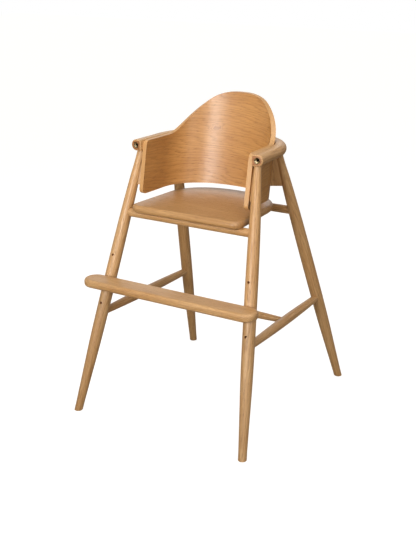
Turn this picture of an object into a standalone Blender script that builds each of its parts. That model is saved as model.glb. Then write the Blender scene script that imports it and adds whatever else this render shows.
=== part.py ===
"""Baby high chair in oak: four splayed turned legs, a bent arm rail, a moulded
veneer shell, a solid seat and a footrest board that bolts on at three heights.

Metres, +Z up. The sitter faces -Y. Left and right are as seen from the front,
so left is -X. The origin is on the floor, midway between the feet.
"""

import math

import bmesh
import bpy
from mathutils import Matrix, Vector

CLEARANCE = 0.0003  # between two pieces that touch
OVERRUN = 0.01  # how far a cut starts outside the face it enters
TENON_ROOT = 0.03  # how far a tenon's core runs back into its own piece

# Overall stance
FRONT_FOOT_HALF = 0.2497
REAR_FOOT_HALF = 0.2432
FOOT_REACH = 0.2723
SEAT_HEIGHT = 0.5395
RAIL_HEIGHT = 0.6785

# Bent arm rail, a U in plan: half an ellipse at the back, two arms that flare forward
RAIL_WIDTH = 0.030
RAIL_DEPTH = 0.0285
RAIL_HALF = 0.1702
RAIL_BOW = 0.1401
RAIL_BOW_Y = 0.0051
RAIL_SQUARENESS = 2.21
RAIL_END_FLARE = 0.0045
RAIL_END_Y = -0.0818
RAIL_OUTER_ROUND = 0.0141
RAIL_INNER_ROUND = 0.003
RAIL_END_EDGE = 0.0018

# Turned legs. Their tops stand this far outside the rail's inner face
FRONT_LEG_TOP_Y = -0.0667
REAR_LEG_TOP_Y = 0.0639
FRONT_LEG_GAP = 0.0009
REAR_LEG_GAP = 0.0012
LEG_RADIUS = 0.0157
LEG_SHAPE = (
    (0.0, 0.67),
    (0.08, 0.735),
    (0.16, 0.825),
    (0.27, 0.945),
    (0.36, 0.988),
    (0.47, 1.0),
    (0.60, 0.993),
    (0.68, 0.968),
    (0.75, 0.93),
    (0.82, 0.866),
    (0.90, 0.765),
    (1.0, 0.612),
)
LEG_TENON_RADIUS = 0.006
LEG_TENON_LENGTH = 0.005
LEG_WASTE = 0.012  # turned at each end and sawn off level
FOOT_FLAT = 0.0097  # radius of the ground face inside its chamfer

# Moulded veneer shell, leaning back by this much for each metre of rise
SHELL_THICKNESS = 0.0115
SHELL_LEAN = 0.20
SHELL_FRONT_SETBACK = 0.0086
SHELL_SEAT_GAP = 0.0185
SHELL_ARM_DROP = 0.0018
SHELL_CREST = 0.1023
SHELL_CREST_HALF = 0.202
SHELL_CREST_SHAPE = (
    (0.0, 1.0),
    (0.19, 0.974),
    (0.37, 0.864),
    (0.54, 0.636),
    (0.68, 0.405),
    (0.80, 0.195),
    (0.90, 0.06),
    (1.0, 0.0),
)
SHELL_TOP_CORNER = 0.010
SHELL_BOTTOM_CORNER = 0.014
SHELL_EDGE = 0.002
SHELL_CORE_BELOW = 0.06  # how far the shell's face is carried on to trim its neighbours
SHELL_CORE_ABOVE = 0.02
SHELL_CORE_AHEAD = 0.03

# Solid seat
SEAT_THICKNESS = 0.020
SEAT_SIDE_GAP = 0.0112
SEAT_TAPER = 0.0085
SEAT_SIDE_END_Y = 0.010
SEAT_FRONT_OVERHANG = 0.0276  # past the seat rails' centre lines
SEAT_BACK_OVERHANG = 0.0168
SEAT_CORNER = 0.025
SEAT_SQUARENESS = 2.25
SEAT_EDGE = 0.0092

# Round seat rails, stretchers and their tenons
SEAT_RAIL_RADIUS = 0.0105
SEAT_RAIL_LET_IN = 0.002
STRETCHER_HEIGHT = 0.2556
STRETCHER_RADIUS = 0.0120
STRETCHER_END = 0.0088
CROSS_RADIUS = 0.0112
CROSS_END = 0.0070
TENON_RADIUS = 0.0070
CROSS_TENON_RADIUS = 0.0050
TENON_PAST_AXIS = 0.002
MORTISE_BOTTOM = 0.0006

# Gussets between the shell and the legs
GUSSET_THICKNESS = 0.012
GUSSET_DROP = 0.084
GUSSET_REACH = 0.055
FRONT_GUSSET_TOP = 0.009
GUSSET_ANGLE = math.radians(30)  # in plan, away from straight across

# Footrest board, bolted through the front legs
FOOTREST_HEIGHT = 0.3454
FOOTREST_PITCH = 0.0614
FOOTREST_THICKNESS = 0.021
FOOTREST_HALF = 0.250
FOOTREST_DEPTH = 0.059
FOOTREST_EDGE = 0.0078
FOOTREST_SADDLE = 0.0015
BOLT_RADIUS = 0.0029
BOLT_HOLE = 0.0032
BOLT_HEAD_RADIUS = 0.0065
BOLT_HEAD = 0.0042
BOLT_GRIP = 0.012
BOLT_CHAMFER = 0.0007
DRILL_REACH = 0.04  # each way from a leg's axis
COUNTERBORE_RADIUS = 0.0080
COUNTERBORE_FROM_AXIS = 0.0075
WASHER_RADIUS = 0.0075
WASHER = 0.0012
INSERT_RADIUS = 0.0045
INSERT_LENGTH = 0.014
INSERT_SETBACK = 0.0022
INSERT_FLOOR = 0.0012
HEX_SOCKET = 0.0023
HEX_DEPTH = 0.0026

# Brass sockets let into the ends of the arm rail
SOCKET_RADIUS = 0.008
SOCKET_FLANGE = 0.003
SOCKET_BARREL = 0.005
SOCKET_LENGTH = 0.014
SOCKET_MOUTH = 0.0068
SOCKET_BORE = 0.0030
SOCKET_BORE_DEPTH = 0.012

# Screws up through the seat rails
SCREW_RADIUS = 0.0020
SCREW_HEAD = 0.0040
SCREW_BITE = 0.012
FRONT_SCREW_HALF_SPACING = 0.095
REAR_SCREW_HALF_SPACING = 0.045
SCREW_SINK = 0.0008
SCREW_POINT = 0.003
SCREW_RECESS = 0.0016

LEG_STEPS = 20
ROD_STEPS = 16
SMALL_STEPS = 12
LEG_ROWS = 14

PARTS = "baby_high_chair"
CUTTERS = "cutters"


# --- scene -----------------------------------------------------------------


def clear_scene():
    for obj in list(bpy.data.objects):
        bpy.data.objects.remove(obj)
    for name in (PARTS, CUTTERS):
        collection = bpy.data.collections.new(name)
        bpy.context.scene.collection.children.link(collection)
    bpy.data.collections[CUTTERS].hide_render = True


def linear(channel):
    if channel <= 0.04045:
        return channel / 12.92
    return ((channel + 0.055) / 1.055) ** 2.4


def material(name, red, green, blue, roughness, metallic=0.0):
    """A plain material from an sRGB colour."""
    made = bpy.data.materials.get(name)
    if made:
        return made
    made = bpy.data.materials.new(name)
    made.use_nodes = True
    shader = made.node_tree.nodes["Principled BSDF"]
    colour = [linear(c / 255) for c in (red, green, blue)] + [1.0]
    shader.inputs["Base Color"].default_value = colour
    shader.inputs["Roughness"].default_value = roughness
    shader.inputs["Metallic"].default_value = metallic
    made.diffuse_color = colour
    return made


def oak():
    return material("lacquered_oak", 205, 160, 112, 0.42)


def veneer():
    return material("moulded_oak_veneer", 190, 134, 80, 0.35)


def seat_oak():
    return material("lacquered_oak_seat", 184, 134, 84, 0.36)


def brass():
    return material("turned_brass", 196, 176, 120, 0.28, 1.0)


def steel():
    return material("zinc_plated_steel", 180, 182, 184, 0.35, 1.0)


def add_object(name, mesh, finish=None, smooth=True):
    """Links a mesh as a part with a finish, or as a hidden cutter without one."""
    obj = bpy.data.objects.new(name, mesh)
    if smooth:
        mesh.shade_smooth()
        mesh.set_sharp_from_angle(angle=math.radians(40))
    if finish:
        mesh.materials.append(finish)
        bpy.data.collections[PARTS].objects.link(obj)
        return obj
    obj.display_type = "WIRE"
    obj.hide_render = True
    bpy.data.collections[CUTTERS].objects.link(obj)
    return obj


def to_mesh(name, bm):
    mesh = bpy.data.meshes.new(name)
    bm.to_mesh(mesh)
    bm.free()
    return mesh


# --- shapes ----------------------------------------------------------------


def lathe(name, profile, steps, matrix, finish=None):
    """Turns a profile of (radius, height) pairs, listed from the top down."""
    bm = bmesh.new()
    points = [bm.verts.new((radius, 0.0, height)) for radius, height in profile]
    for first, second in zip(points, points[1:]):
        bm.edges.new((first, second))
    obj = add_object(name, to_mesh(name, bm), finish, smooth=False)
    screw = obj.modifiers.new("turn", "SCREW")
    screw.angle = 2 * math.pi
    screw.axis = "Z"
    screw.steps = steps
    screw.render_steps = steps
    screw.use_merge_vertices = True
    screw.merge_threshold = 0.00005
    screw.use_smooth_shade = True
    obj.matrix_world = matrix
    return obj


def rod(name, start, end, radius, steps=SMALL_STEPS, finish=None):
    """A plain round bar between two points."""
    length = (end - start).length
    profile = ((0.0, length), (radius, length), (radius, 0.0), (0.0, 0.0))
    return lathe(name, profile, steps, along(start, end), finish)


def along(start, end):
    """The matrix that puts +Z on the line from start to end, with its origin at start."""
    turn = Vector((0, 0, 1)).rotation_difference((end - start).normalized())
    return Matrix.Translation(start) @ turn.to_matrix().to_4x4()


def loft(name, rings, finish=None):
    """Closed rings of the same count, skinned in order, with a face over each end."""
    bm = bmesh.new()
    loops = [[bm.verts.new(point) for point in ring] for ring in rings]
    count = len(loops[0])
    for first, second in zip(loops, loops[1:]):
        for i in range(count):
            j = (i + 1) % count
            bm.faces.new((first[i], first[j], second[j], second[i]))
    bm.faces.new(loops[0][::-1])
    bm.faces.new(loops[-1])
    bmesh.ops.recalc_face_normals(bm, faces=bm.faces)
    return add_object(name, to_mesh(name, bm), finish)


def plate(name, outline, bottom, thickness, finish=None):
    """A flat board of this plan outline."""
    low = [(x, y, bottom) for x, y in outline]
    high = [(x, y, bottom + thickness) for x, y in outline]
    return loft(name, (low, high), finish)


def soften(obj, width, segments, angle=50):
    bevel = obj.modifiers.new("edges", "BEVEL")
    bevel.width = width
    bevel.segments = segments
    bevel.limit_method = "ANGLE"
    bevel.angle_limit = math.radians(angle)
    bevel.use_clamp_overlap = True
    return bevel


def boolean(obj, cutter, operation="DIFFERENCE"):
    step = obj.modifiers.new(cutter.name, "BOOLEAN")
    step.operation = operation
    step.solver = "EXACT"
    step.object = cutter
    return step


def interpolate(table, x):
    """A smooth curve through (x, y) pairs."""
    if x <= table[0][0]:
        return table[0][1]
    if x >= table[-1][0]:
        return table[-1][1]
    i = max(k for k in range(len(table) - 1) if table[k][0] <= x)
    (x0, y0), (x1, y1) = table[i], table[i + 1]
    before = table[i - 1] if i else (x0 - (x1 - x0), y1)
    after = table[i + 2] if i + 2 < len(table) else (x1 + (x1 - x0), y1)
    m0 = (y1 - before[1]) / (x1 - before[0]) * (x1 - x0)
    m1 = (after[1] - y0) / (after[0] - x0) * (x1 - x0)
    t = (x - x0) / (x1 - x0)
    return (
        (2 * t**3 - 3 * t**2 + 1) * y0
        + (t**3 - 2 * t**2 + t) * m0
        + (3 * t**2 - 2 * t**3) * y1
        + (t**3 - t**2) * m1
    )


# --- the plan curve of rail and shell --------------------------------------


def rail_points():
    """The rail's centre line in plan from the right end round the back to the left."""
    arm_steps = 4
    bow_steps = 36
    right = []
    for i in range(arm_steps):
        t = i / arm_steps
        x = RAIL_HALF + RAIL_END_FLARE * (1 - t) ** 1.5
        right.append(Vector((x, RAIL_END_Y + (RAIL_BOW_Y - RAIL_END_Y) * t)))
    bow = []
    power = 2 / RAIL_SQUARENESS
    for i in range(bow_steps + 1):
        angle = math.pi * i / bow_steps
        across = math.cos(angle)
        x = RAIL_HALF * math.copysign(abs(across) ** power, across)
        y = RAIL_BOW_Y + RAIL_BOW * max(math.sin(angle), 0.0) ** power
        bow.append(Vector((x, y)))
    left = [Vector((-p.x, p.y)) for p in reversed(right)]
    return right + bow + left


def outward(points, i):
    before = points[max(i - 1, 0)]
    after = points[min(i + 1, len(points) - 1)]
    run = (after - before).normalized()
    return Vector((run.y, -run.x))


def offset_points(distance):
    points = rail_points()
    return [p + outward(points, i) * distance for i, p in enumerate(points)]


def distances(points):
    """Length along the points, measured from the middle."""
    total = [0.0]
    for first, second in zip(points, points[1:]):
        total.append(total[-1] + (second - first).length)
    middle = total[-1] / 2
    return [d - middle for d in total]


class PlanCurve:
    """A plan curve that can be asked for the point at a length from the middle of the back."""

    def __init__(self, distance):
        self.points = offset_points(distance)
        self.lengths = distances(self.points)

    def at(self, s):
        i = max(k for k in range(len(self.lengths) - 1) if self.lengths[k] <= s)
        first, second = self.points[i], self.points[i + 1]
        share = (s - self.lengths[i]) / (self.lengths[i + 1] - self.lengths[i])
        return first.lerp(second, min(max(share, 0.0), 1.0))


def rail_x_at(y):
    """Half-width of the rail's centre line at this y."""
    if y >= RAIL_BOW_Y:
        share = (y - RAIL_BOW_Y) / RAIL_BOW
        return RAIL_HALF * (1 - share**RAIL_SQUARENESS) ** (1 / RAIL_SQUARENESS)
    t = (y - RAIL_END_Y) / (RAIL_BOW_Y - RAIL_END_Y)
    return RAIL_HALF + RAIL_END_FLARE * (1 - t) ** 1.5


# --- leg lines -------------------------------------------------------------

RAIL_UNDERSIDE = RAIL_HEIGHT - RAIL_DEPTH / 2
LEG_TOP_Z = RAIL_UNDERSIDE - CLEARANCE


def leg_ends(front, side):
    """A leg's axis, from the floor to the underside of the rail."""
    inner = LEG_RADIUS * LEG_SHAPE[-1][1] - RAIL_WIDTH / 2
    if front:
        foot = Vector((side * FRONT_FOOT_HALF, -FOOT_REACH, 0.0))
        x = rail_x_at(FRONT_LEG_TOP_Y) + inner + FRONT_LEG_GAP
        return foot, Vector((side * x, FRONT_LEG_TOP_Y, LEG_TOP_Z))
    foot = Vector((side * REAR_FOOT_HALF, FOOT_REACH, 0.0))
    x = rail_x_at(REAR_LEG_TOP_Y) + inner + REAR_LEG_GAP
    return foot, Vector((side * x, REAR_LEG_TOP_Y, LEG_TOP_Z))


def leg_at(front, side, z):
    foot, top = leg_ends(front, side)
    return foot.lerp(top, z / LEG_TOP_Z)


def leg_radius(z):
    return LEG_RADIUS * interpolate(LEG_SHAPE, z / LEG_TOP_Z)


def leg_name(front, side):
    return f"leg_{'front' if front else 'rear'}_{'right' if side > 0 else 'left'}"


CORNERS = ((True, -1), (True, 1), (False, -1), (False, 1))


def leg_envelope(front, side):
    """The leg's turned surface grown by the clearance, to shape what meets the leg."""
    foot, top = leg_ends(front, side)
    length = (top - foot).length
    rows = LEG_ROWS
    profile = [(0.0, length + OVERRUN)]
    for i in range(rows + 1):
        share = 1 - i / rows
        radius = LEG_RADIUS * interpolate(LEG_SHAPE, share) + CLEARANCE
        profile.append((radius, length * share + (OVERRUN if i == 0 else 0.0)))
    profile.append((0.0, 0.0))
    name = leg_name(front, side) + "_envelope"
    return lathe(name, profile, LEG_STEPS, along(foot, top))


def make_leg(front, side):
    """A turned leg, sawn level at foot and shoulder, with a tenon that enters the rail."""
    foot, top = leg_ends(front, side)
    run = (top - foot).normalized()
    length = (top - foot).length
    rows = LEG_ROWS
    shares = [1 - i / rows for i in range(rows + 1)]
    turned = [(LEG_RADIUS * interpolate(LEG_SHAPE, s), length * s) for s in shares]
    head, toe = turned[0][0], turned[-1][0]
    profile = [(0.0, length + LEG_WASTE), (head, length + LEG_WASTE)] + turned
    profile += [(toe, -LEG_WASTE), (0.0, -LEG_WASTE)]
    name = leg_name(front, side)
    leg = lathe(name, profile, LEG_STEPS, along(foot, top), oak())
    boolean(leg, level_cone(foot, name), "INTERSECT")
    tenon_end = top + run * LEG_TENON_LENGTH
    tenon = rod(name + "_tenon", top - run * TENON_ROOT, tenon_end, LEG_TENON_RADIUS)
    boolean(leg, tenon, "UNION")
    return leg


def level_cone(foot, owner):
    """Between floor and rail: cuts a foot level and chamfers its edge."""
    height = LEG_TOP_Z
    profile = ((0.0, height), (FOOT_FLAT + height, height), (FOOT_FLAT, 0.0), (0.0, 0.0))
    return lathe(owner + "_level", profile, LEG_STEPS, Matrix.Translation(foot))


# --- arm rail --------------------------------------------------------------


def rail_section():
    """(outward, up) corners of the rail's section, round outside and square inside."""
    half_width = RAIL_WIDTH / 2
    half_depth = RAIL_DEPTH / 2
    corners = (
        (1, 1, RAIL_OUTER_ROUND, 0, 4),
        (-1, 1, RAIL_INNER_ROUND, 90, 1),
        (-1, -1, RAIL_INNER_ROUND, 180, 1),
        (1, -1, RAIL_OUTER_ROUND, 270, 4),
    )
    section = []
    for across, up, radius, start, steps in corners:
        cx = across * (half_width - radius)
        cz = up * (half_depth - radius)
        for i in range(steps + 1):
            angle = math.radians(start + 90 * i / steps)
            section.append((cx + radius * math.cos(angle), cz + radius * math.sin(angle)))
    return section


def make_rail(core):
    """The inner face is left full at the back, then trimmed to the leaning shell."""
    points = rail_points()
    section = rail_section()
    rings = []
    for i, point in enumerate(points):
        away = outward(points, i)
        full = SHELL_LEAN * RAIL_DEPTH / 2 * max(away.y, 0.0)
        ring = []
        for across, up in section:
            place = point + away * (across - (full if across < 0 else 0.0))
            ring.append((place.x, place.y, RAIL_HEIGHT + up))
        rings.append(ring)
    rail = loft("arm_rail", rings, oak())
    soften(rail, RAIL_END_EDGE, 2, 60)
    boolean(rail, core)
    for front, side in CORNERS:
        foot, top = leg_ends(front, side)
        run = (top - foot).normalized()
        end = top + run * (LEG_TENON_LENGTH + MORTISE_BOTTOM)
        name = f"{leg_name(front, side)}_rail_mortise"
        boolean(rail, rod(name, top - run * OVERRUN, end, LEG_TENON_RADIUS + CLEARANCE))
    return rail


def rail_end(side):
    """The middle of a rail end and the way into it."""
    points = rail_points()
    end, beside = points[0], points[1]
    into = (beside - end).normalized()
    place = Vector((side * end.x, end.y, RAIL_HEIGHT))
    return place, Vector((side * into.x, into.y, 0.0))


def make_rail_socket(rail, side):
    """A countersunk brass socket let into a rail end."""
    place, into = rail_end(side)
    name = f"rail_socket_{'right' if side > 0 else 'left'}"
    face = SOCKET_LENGTH
    cone = SOCKET_MOUTH - SOCKET_BORE
    gap = CLEARANCE
    start = place + into * SOCKET_LENGTH
    recess = (
        (0.0, face + OVERRUN),
        (SOCKET_RADIUS + gap, face + OVERRUN),
        (SOCKET_RADIUS + gap, face - SOCKET_FLANGE - gap),
        (SOCKET_BARREL + gap, face - SOCKET_FLANGE - gap),
        (SOCKET_BARREL + gap, -gap),
        (0.0, -gap),
    )
    cut = boolean(rail, lathe(name + "_recess", recess, ROD_STEPS, along(start, place)))
    cut.use_self = True  # the rail's trimmed end has very thin edges
    profile = (
        (0.0, face - SOCKET_BORE_DEPTH),
        (SOCKET_BORE, face - SOCKET_BORE_DEPTH),
        (SOCKET_BORE, face - cone),
        (SOCKET_MOUTH, face),
        (SOCKET_RADIUS, face),
        (SOCKET_RADIUS, face - SOCKET_FLANGE),
        (SOCKET_BARREL, face - SOCKET_FLANGE),
        (SOCKET_BARREL, 0.0),
        (0.0, 0.0),
    )
    return lathe(name, profile, ROD_STEPS, along(start, place), brass())


# --- shell -----------------------------------------------------------------

SHELL_OFFSET = -RAIL_WIDTH / 2
SHELL_BOTTOM = SEAT_HEIGHT + SHELL_SEAT_GAP
SHELL_ARM_TOP = RAIL_HEIGHT + RAIL_DEPTH / 2 - SHELL_ARM_DROP


def shell_end():
    """Length along the outer face from the middle of the back to a front edge."""
    curve = PlanCurve(SHELL_OFFSET)
    pairs = list(zip(curve.points, curve.lengths))
    front_y = RAIL_END_Y + SHELL_FRONT_SETBACK
    for (p0, s0), (p1, s1) in zip(pairs, pairs[1:]):
        if p0.y <= front_y <= p1.y:
            return -(s0 + (s1 - s0) * (front_y - p0.y) / (p1.y - p0.y))
    return -curve.lengths[1]


def corner_cut(gap, radius):
    """How far a rounded corner stands back at this distance from the edge."""
    if gap >= radius:
        return 0.0
    return radius - math.sqrt(max(radius**2 - (radius - gap) ** 2, 0.0))


def shell_heights(s, end):
    """Bottom and top of the shell at a length from the middle of the back."""
    crest = SHELL_CREST * interpolate(SHELL_CREST_SHAPE, abs(s) / SHELL_CREST_HALF)
    gap = end - abs(s)
    bottom = SHELL_BOTTOM + corner_cut(gap, SHELL_BOTTOM_CORNER)
    return bottom, SHELL_ARM_TOP + crest - corner_cut(gap, SHELL_TOP_CORNER)


def leaned(point, z):
    return (point.x, point.y + SHELL_LEAN * (z - RAIL_HEIGHT), z)


def shell_columns(end):
    corner_steps = 6
    width = max(SHELL_BOTTOM_CORNER, SHELL_TOP_CORNER)
    corner = []
    for i in range(corner_steps):
        corner.append(end - width * (1 - math.cos(math.pi / 2 * i / corner_steps)))
    middle_steps = 44
    reach = end - width
    middle = [reach - 2 * reach * i / middle_steps for i in range(middle_steps + 1)]
    return corner + middle + [-s for s in reversed(corner)]


def make_shell():
    end = shell_end()
    outer = PlanCurve(SHELL_OFFSET)
    columns = shell_columns(end)
    inner = shell_inner(outer, columns)
    bm = bmesh.new()
    rows = []
    for s, inside in zip(columns, inner):
        outside = outer.at(-s)
        bottom, top = shell_heights(s, end)
        corners = (
            leaned(outside, bottom),
            leaned(outside, top),
            leaned(inside, top),
            leaned(inside, bottom),
        )
        rows.append([bm.verts.new(c) for c in corners])
    for first, second in zip(rows, rows[1:]):
        for i in range(4):
            j = (i + 1) % 4
            bm.faces.new((first[i], first[j], second[j], second[i]))
    bm.faces.new(rows[0][::-1])
    bm.faces.new(rows[-1])
    bmesh.ops.recalc_face_normals(bm, faces=bm.faces)
    shell = add_object("back_shell", to_mesh("back_shell", bm), veneer())
    soften(shell, SHELL_EDGE, 2, 55)
    return shell


def shell_inner(outer, columns):
    """The inner face's plan point opposite each outer one."""
    near = SHELL_THICKNESS / 6
    found = []
    for s in columns:
        run = (outer.at(-s + near) - outer.at(-s - near)).normalized()
        found.append(outer.at(-s) + Vector((-run.y, run.x)) * SHELL_THICKNESS)
    return found


def shell_core():
    """All that lies inside the shell's outer face, grown by the clearance."""
    plan = offset_points(SHELL_OFFSET + CLEARANCE)
    ahead = Vector((0.0, SHELL_CORE_AHEAD))
    plan = [plan[0] - ahead] + plan + [plan[-1] - ahead]
    rings = []
    for z in (SHELL_BOTTOM - SHELL_CORE_BELOW, RAIL_HEIGHT + SHELL_CORE_ABOVE):
        rings.append([leaned(point, z) for point in plan])
    return loft("shell_core", rings)


# --- gussets ---------------------------------------------------------------


def make_gusset(front, side, core, envelope):
    """A plate in the plane of the leg that fills the wedge between leg and shell."""
    place = leg_name(front, side).replace("leg_", "")
    top = LEG_TOP_Z - (FRONT_GUSSET_TOP if front else CLEARANCE)
    bottom = RAIL_UNDERSIDE - GUSSET_DROP
    to_middle = math.sin(GUSSET_ANGLE) * (1 if front else -1)
    inward = Vector((-side * math.cos(GUSSET_ANGLE), to_middle, 0.0))
    across = Vector((-inward.y, inward.x, 0.0)) * (GUSSET_THICKNESS / 2)
    rings = []
    for way in (-1, 1):
        ring = []
        for z, reach in ((bottom, 0.0), (bottom, 1.0), (top, 1.0), (top, 0.0)):
            point = leg_at(front, side, z) + inward * GUSSET_REACH * reach
            ring.append(point + across * way)
        rings.append(ring)
    gusset = loft(f"gusset_{place}", rings, oak())
    boolean(gusset, core)
    boolean(gusset, envelope)
    return gusset


# --- seat ------------------------------------------------------------------

SEAT_BOTTOM = SEAT_HEIGHT - SEAT_THICKNESS
SEAT_RAIL_Z = SEAT_BOTTOM + SEAT_RAIL_LET_IN - SEAT_RAIL_RADIUS


def seat_half_width():
    beside = SEAT_HEIGHT - SEAT_THICKNESS / 2
    leg = leg_at(True, 1, beside)
    return leg.x - leg_radius(beside) - SEAT_SIDE_GAP


def arc(cx, cy, radius, start, end, steps):
    points = []
    for i in range(steps + 1):
        angle = math.radians(start + (end - start) * i / steps)
        points.append((cx + radius * math.cos(angle), cy + radius * math.sin(angle)))
    return points


def seat_outline():
    half = seat_half_width()
    middle = half - SEAT_TAPER
    front_y = leg_at(True, 1, SEAT_RAIL_Z).y - SEAT_FRONT_OVERHANG
    back_y = leg_at(False, 1, SEAT_RAIL_Z).y + SEAT_BACK_OVERHANG
    corner = arc(half - SEAT_CORNER, front_y + SEAT_CORNER, SEAT_CORNER, -90, 0, 6)
    back = []
    steps = 30
    power = 2 / SEAT_SQUARENESS
    for i in range(steps + 1):
        angle = math.pi * i / steps
        across = math.cos(angle)
        x = middle * math.copysign(abs(across) ** power, across)
        rise = (back_y - SEAT_SIDE_END_Y) * max(math.sin(angle), 0.0) ** power
        back.append((x, SEAT_SIDE_END_Y + rise))
    left = [(-x, y) for x, y in reversed(corner)]
    return corner + back + left


def make_seat():
    seat = plate("seat_panel", seat_outline(), SEAT_BOTTOM, SEAT_THICKNESS, seat_oak())
    soften(seat, SEAT_EDGE, 3, 50)
    for front in (True, False):
        ends = [leg_at(front, side, SEAT_RAIL_Z) for side in (-1, 1)]
        name = f"seat_groove_{'front' if front else 'rear'}"
        boolean(seat, rod(name, *ends, SEAT_RAIL_RADIUS + CLEARANCE, ROD_STEPS))
    return seat


def screw_places():
    for front in (True, False):
        y = leg_at(front, 1, SEAT_RAIL_Z).y
        x = FRONT_SCREW_HALF_SPACING if front else REAR_SCREW_HALF_SPACING
        for side in (-1, 1):
            yield front, side, Vector((side * x, y, 0.0))


def make_screw(front, side, place, rail, seat):
    """A countersunk screw up through a seat rail into the seat."""
    where = f"{'front' if front else 'rear'}_{'right' if side > 0 else 'left'}"
    under = SEAT_RAIL_Z - SEAT_RAIL_RADIUS + SCREW_SINK
    tip = SEAT_BOTTOM + SCREW_BITE
    length = tip - under
    cone = SCREW_HEAD - SCREW_RADIUS
    gap = CLEARANCE
    profile = (
        (0.0, length),
        (SCREW_RADIUS * 0.3, length),
        (SCREW_RADIUS, length - SCREW_POINT),
        (SCREW_RADIUS, cone),
        (SCREW_HEAD, 0.0),
        (SCREW_HEAD * 0.45, 0.0),
        (SCREW_HEAD * 0.2, SCREW_RECESS),
        (0.0, SCREW_RECESS),
    )
    matrix = Matrix.Translation((place.x, place.y, under))
    screw = lathe(f"seat_screw_{where}", profile, SMALL_STEPS, matrix, steel())
    hole = (
        (0.0, length + gap),
        (SCREW_RADIUS + gap, length + gap),
        (SCREW_RADIUS + gap, cone + gap / 2),
        (SCREW_HEAD + gap, -gap / 2),
        (SCREW_HEAD + gap, -OVERRUN),
        (0.0, -OVERRUN),
    )
    cutter = lathe(f"seat_screw_{where}_hole", hole, SMALL_STEPS, matrix)
    boolean(rail, cutter)
    boolean(seat, cutter)
    return screw


# --- rails and stretchers --------------------------------------------------


def spindle(name, start, end, middle_radius, end_radius, tenon_radius, past, finish):
    """A turned bar with a swelling middle, and the core that makes its tenons."""
    run = (end - start).normalized()
    length = (end - start).length
    rows = 1 if middle_radius == end_radius else 8
    profile = [(0.0, length)]
    for i in range(rows + 1):
        share = i / rows
        swell = math.sin(math.pi * share) if 0 < i < rows else 0.0
        radius = end_radius + (middle_radius - end_radius) * swell
        profile.append((radius, length * (1 - share)))
    profile.append((0.0, 0.0))
    bar = lathe(name, profile, ROD_STEPS, along(start, end), finish)
    core = rod(name + "_core", start - run * past, end + run * past, tenon_radius)
    return bar, core


def joined_bar(name, ends, envelopes, middle_radius, end_radius, legs):
    """A bar shaped to two legs, with tenons in mortises cut in them."""
    start, end = ends
    bar, core = spindle(
        name, start, end, middle_radius, end_radius, TENON_RADIUS, TENON_PAST_AXIS, oak()
    )
    for envelope in envelopes:
        boolean(bar, envelope)
    boolean(bar, core, "UNION")
    run = (end - start).normalized()
    for leg, point, way in zip(legs, ends, (-1, 1)):
        bottom = point + run * way * (TENON_PAST_AXIS + MORTISE_BOTTOM)
        mouth = point - run * way * TENON_ROOT
        name = f"{bar.name}_{leg.name}_mortise"
        boolean(leg, rod(name, mouth, bottom, TENON_RADIUS + CLEARANCE))
    return bar


def make_seat_rail(front, legs, envelopes):
    name = f"seat_rail_{'front' if front else 'rear'}"
    keys = ((front, -1), (front, 1))
    ends = [leg_at(*key, SEAT_RAIL_Z) for key in keys]
    return joined_bar(
        name,
        ends,
        [envelopes[key] for key in keys],
        SEAT_RAIL_RADIUS,
        SEAT_RAIL_RADIUS,
        [legs[key] for key in keys],
    )


def side_stretcher_ends(side):
    return [leg_at(front, side, STRETCHER_HEIGHT) for front in (True, False)]


def make_side_stretcher(side, legs, envelopes):
    name = f"stretcher_{'right' if side > 0 else 'left'}"
    keys = ((True, side), (False, side))
    return joined_bar(
        name,
        side_stretcher_ends(side),
        [envelopes[key] for key in keys],
        STRETCHER_RADIUS,
        STRETCHER_END,
        [legs[key] for key in keys],
    )


def make_cross_stretcher(stretchers):
    """The bar of the H, let into the middles of the side stretchers."""
    ends = []
    for side in (-1, 1):
        front, rear = side_stretcher_ends(side)
        ends.append(front.lerp(rear, 0.5))
    bar, core = spindle(
        "stretcher_cross",
        *ends,
        CROSS_RADIUS,
        CROSS_END,
        CROSS_TENON_RADIUS,
        TENON_PAST_AXIS,
        oak(),
    )
    run = (ends[1] - ends[0]).normalized()
    for side, end in zip((-1, 1), ends):
        front, rear = side_stretcher_ends(side)
        name = f"stretcher_{'right' if side > 0 else 'left'}"
        radius = STRETCHER_RADIUS + CLEARANCE
        boolean(bar, rod(name + "_envelope", front, rear, radius, ROD_STEPS))
        bottom = end + run * side * (TENON_PAST_AXIS + MORTISE_BOTTOM)
        mouth = end - run * side * TENON_ROOT
        mortise = rod(name + "_cross_mortise", mouth, bottom, CROSS_TENON_RADIUS + CLEARANCE)
        boolean(stretchers[side], mortise)
    boolean(bar, core, "UNION")
    return bar


# --- footrest --------------------------------------------------------------


def footrest_back():
    """The y of the board's back edge, let a little into the fronts of the legs."""
    axis = leg_at(True, 1, FOOTREST_HEIGHT)
    foot, top = leg_ends(True, 1)
    run = (top - foot).normalized()
    surface = axis.y - leg_radius(FOOTREST_HEIGHT) / math.sqrt(1 - run.y**2)
    return surface + FOOTREST_SADDLE


def footrest_outline():
    back = footrest_back()
    radius = FOOTREST_DEPTH / 2
    cy = back - radius
    right = arc(FOOTREST_HALF - radius, cy, radius, -90, 90, 14)
    left = [(-x, y) for x, y in reversed(right)]
    return right + left


def make_footrest(envelopes):
    bottom = FOOTREST_HEIGHT - FOOTREST_THICKNESS / 2
    board = plate("footrest_board", footrest_outline(), bottom, FOOTREST_THICKNESS, oak())
    soften(board, FOOTREST_EDGE, 3, 50)
    for side in (-1, 1):
        boolean(board, envelopes[(True, side)])
    return board


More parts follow.
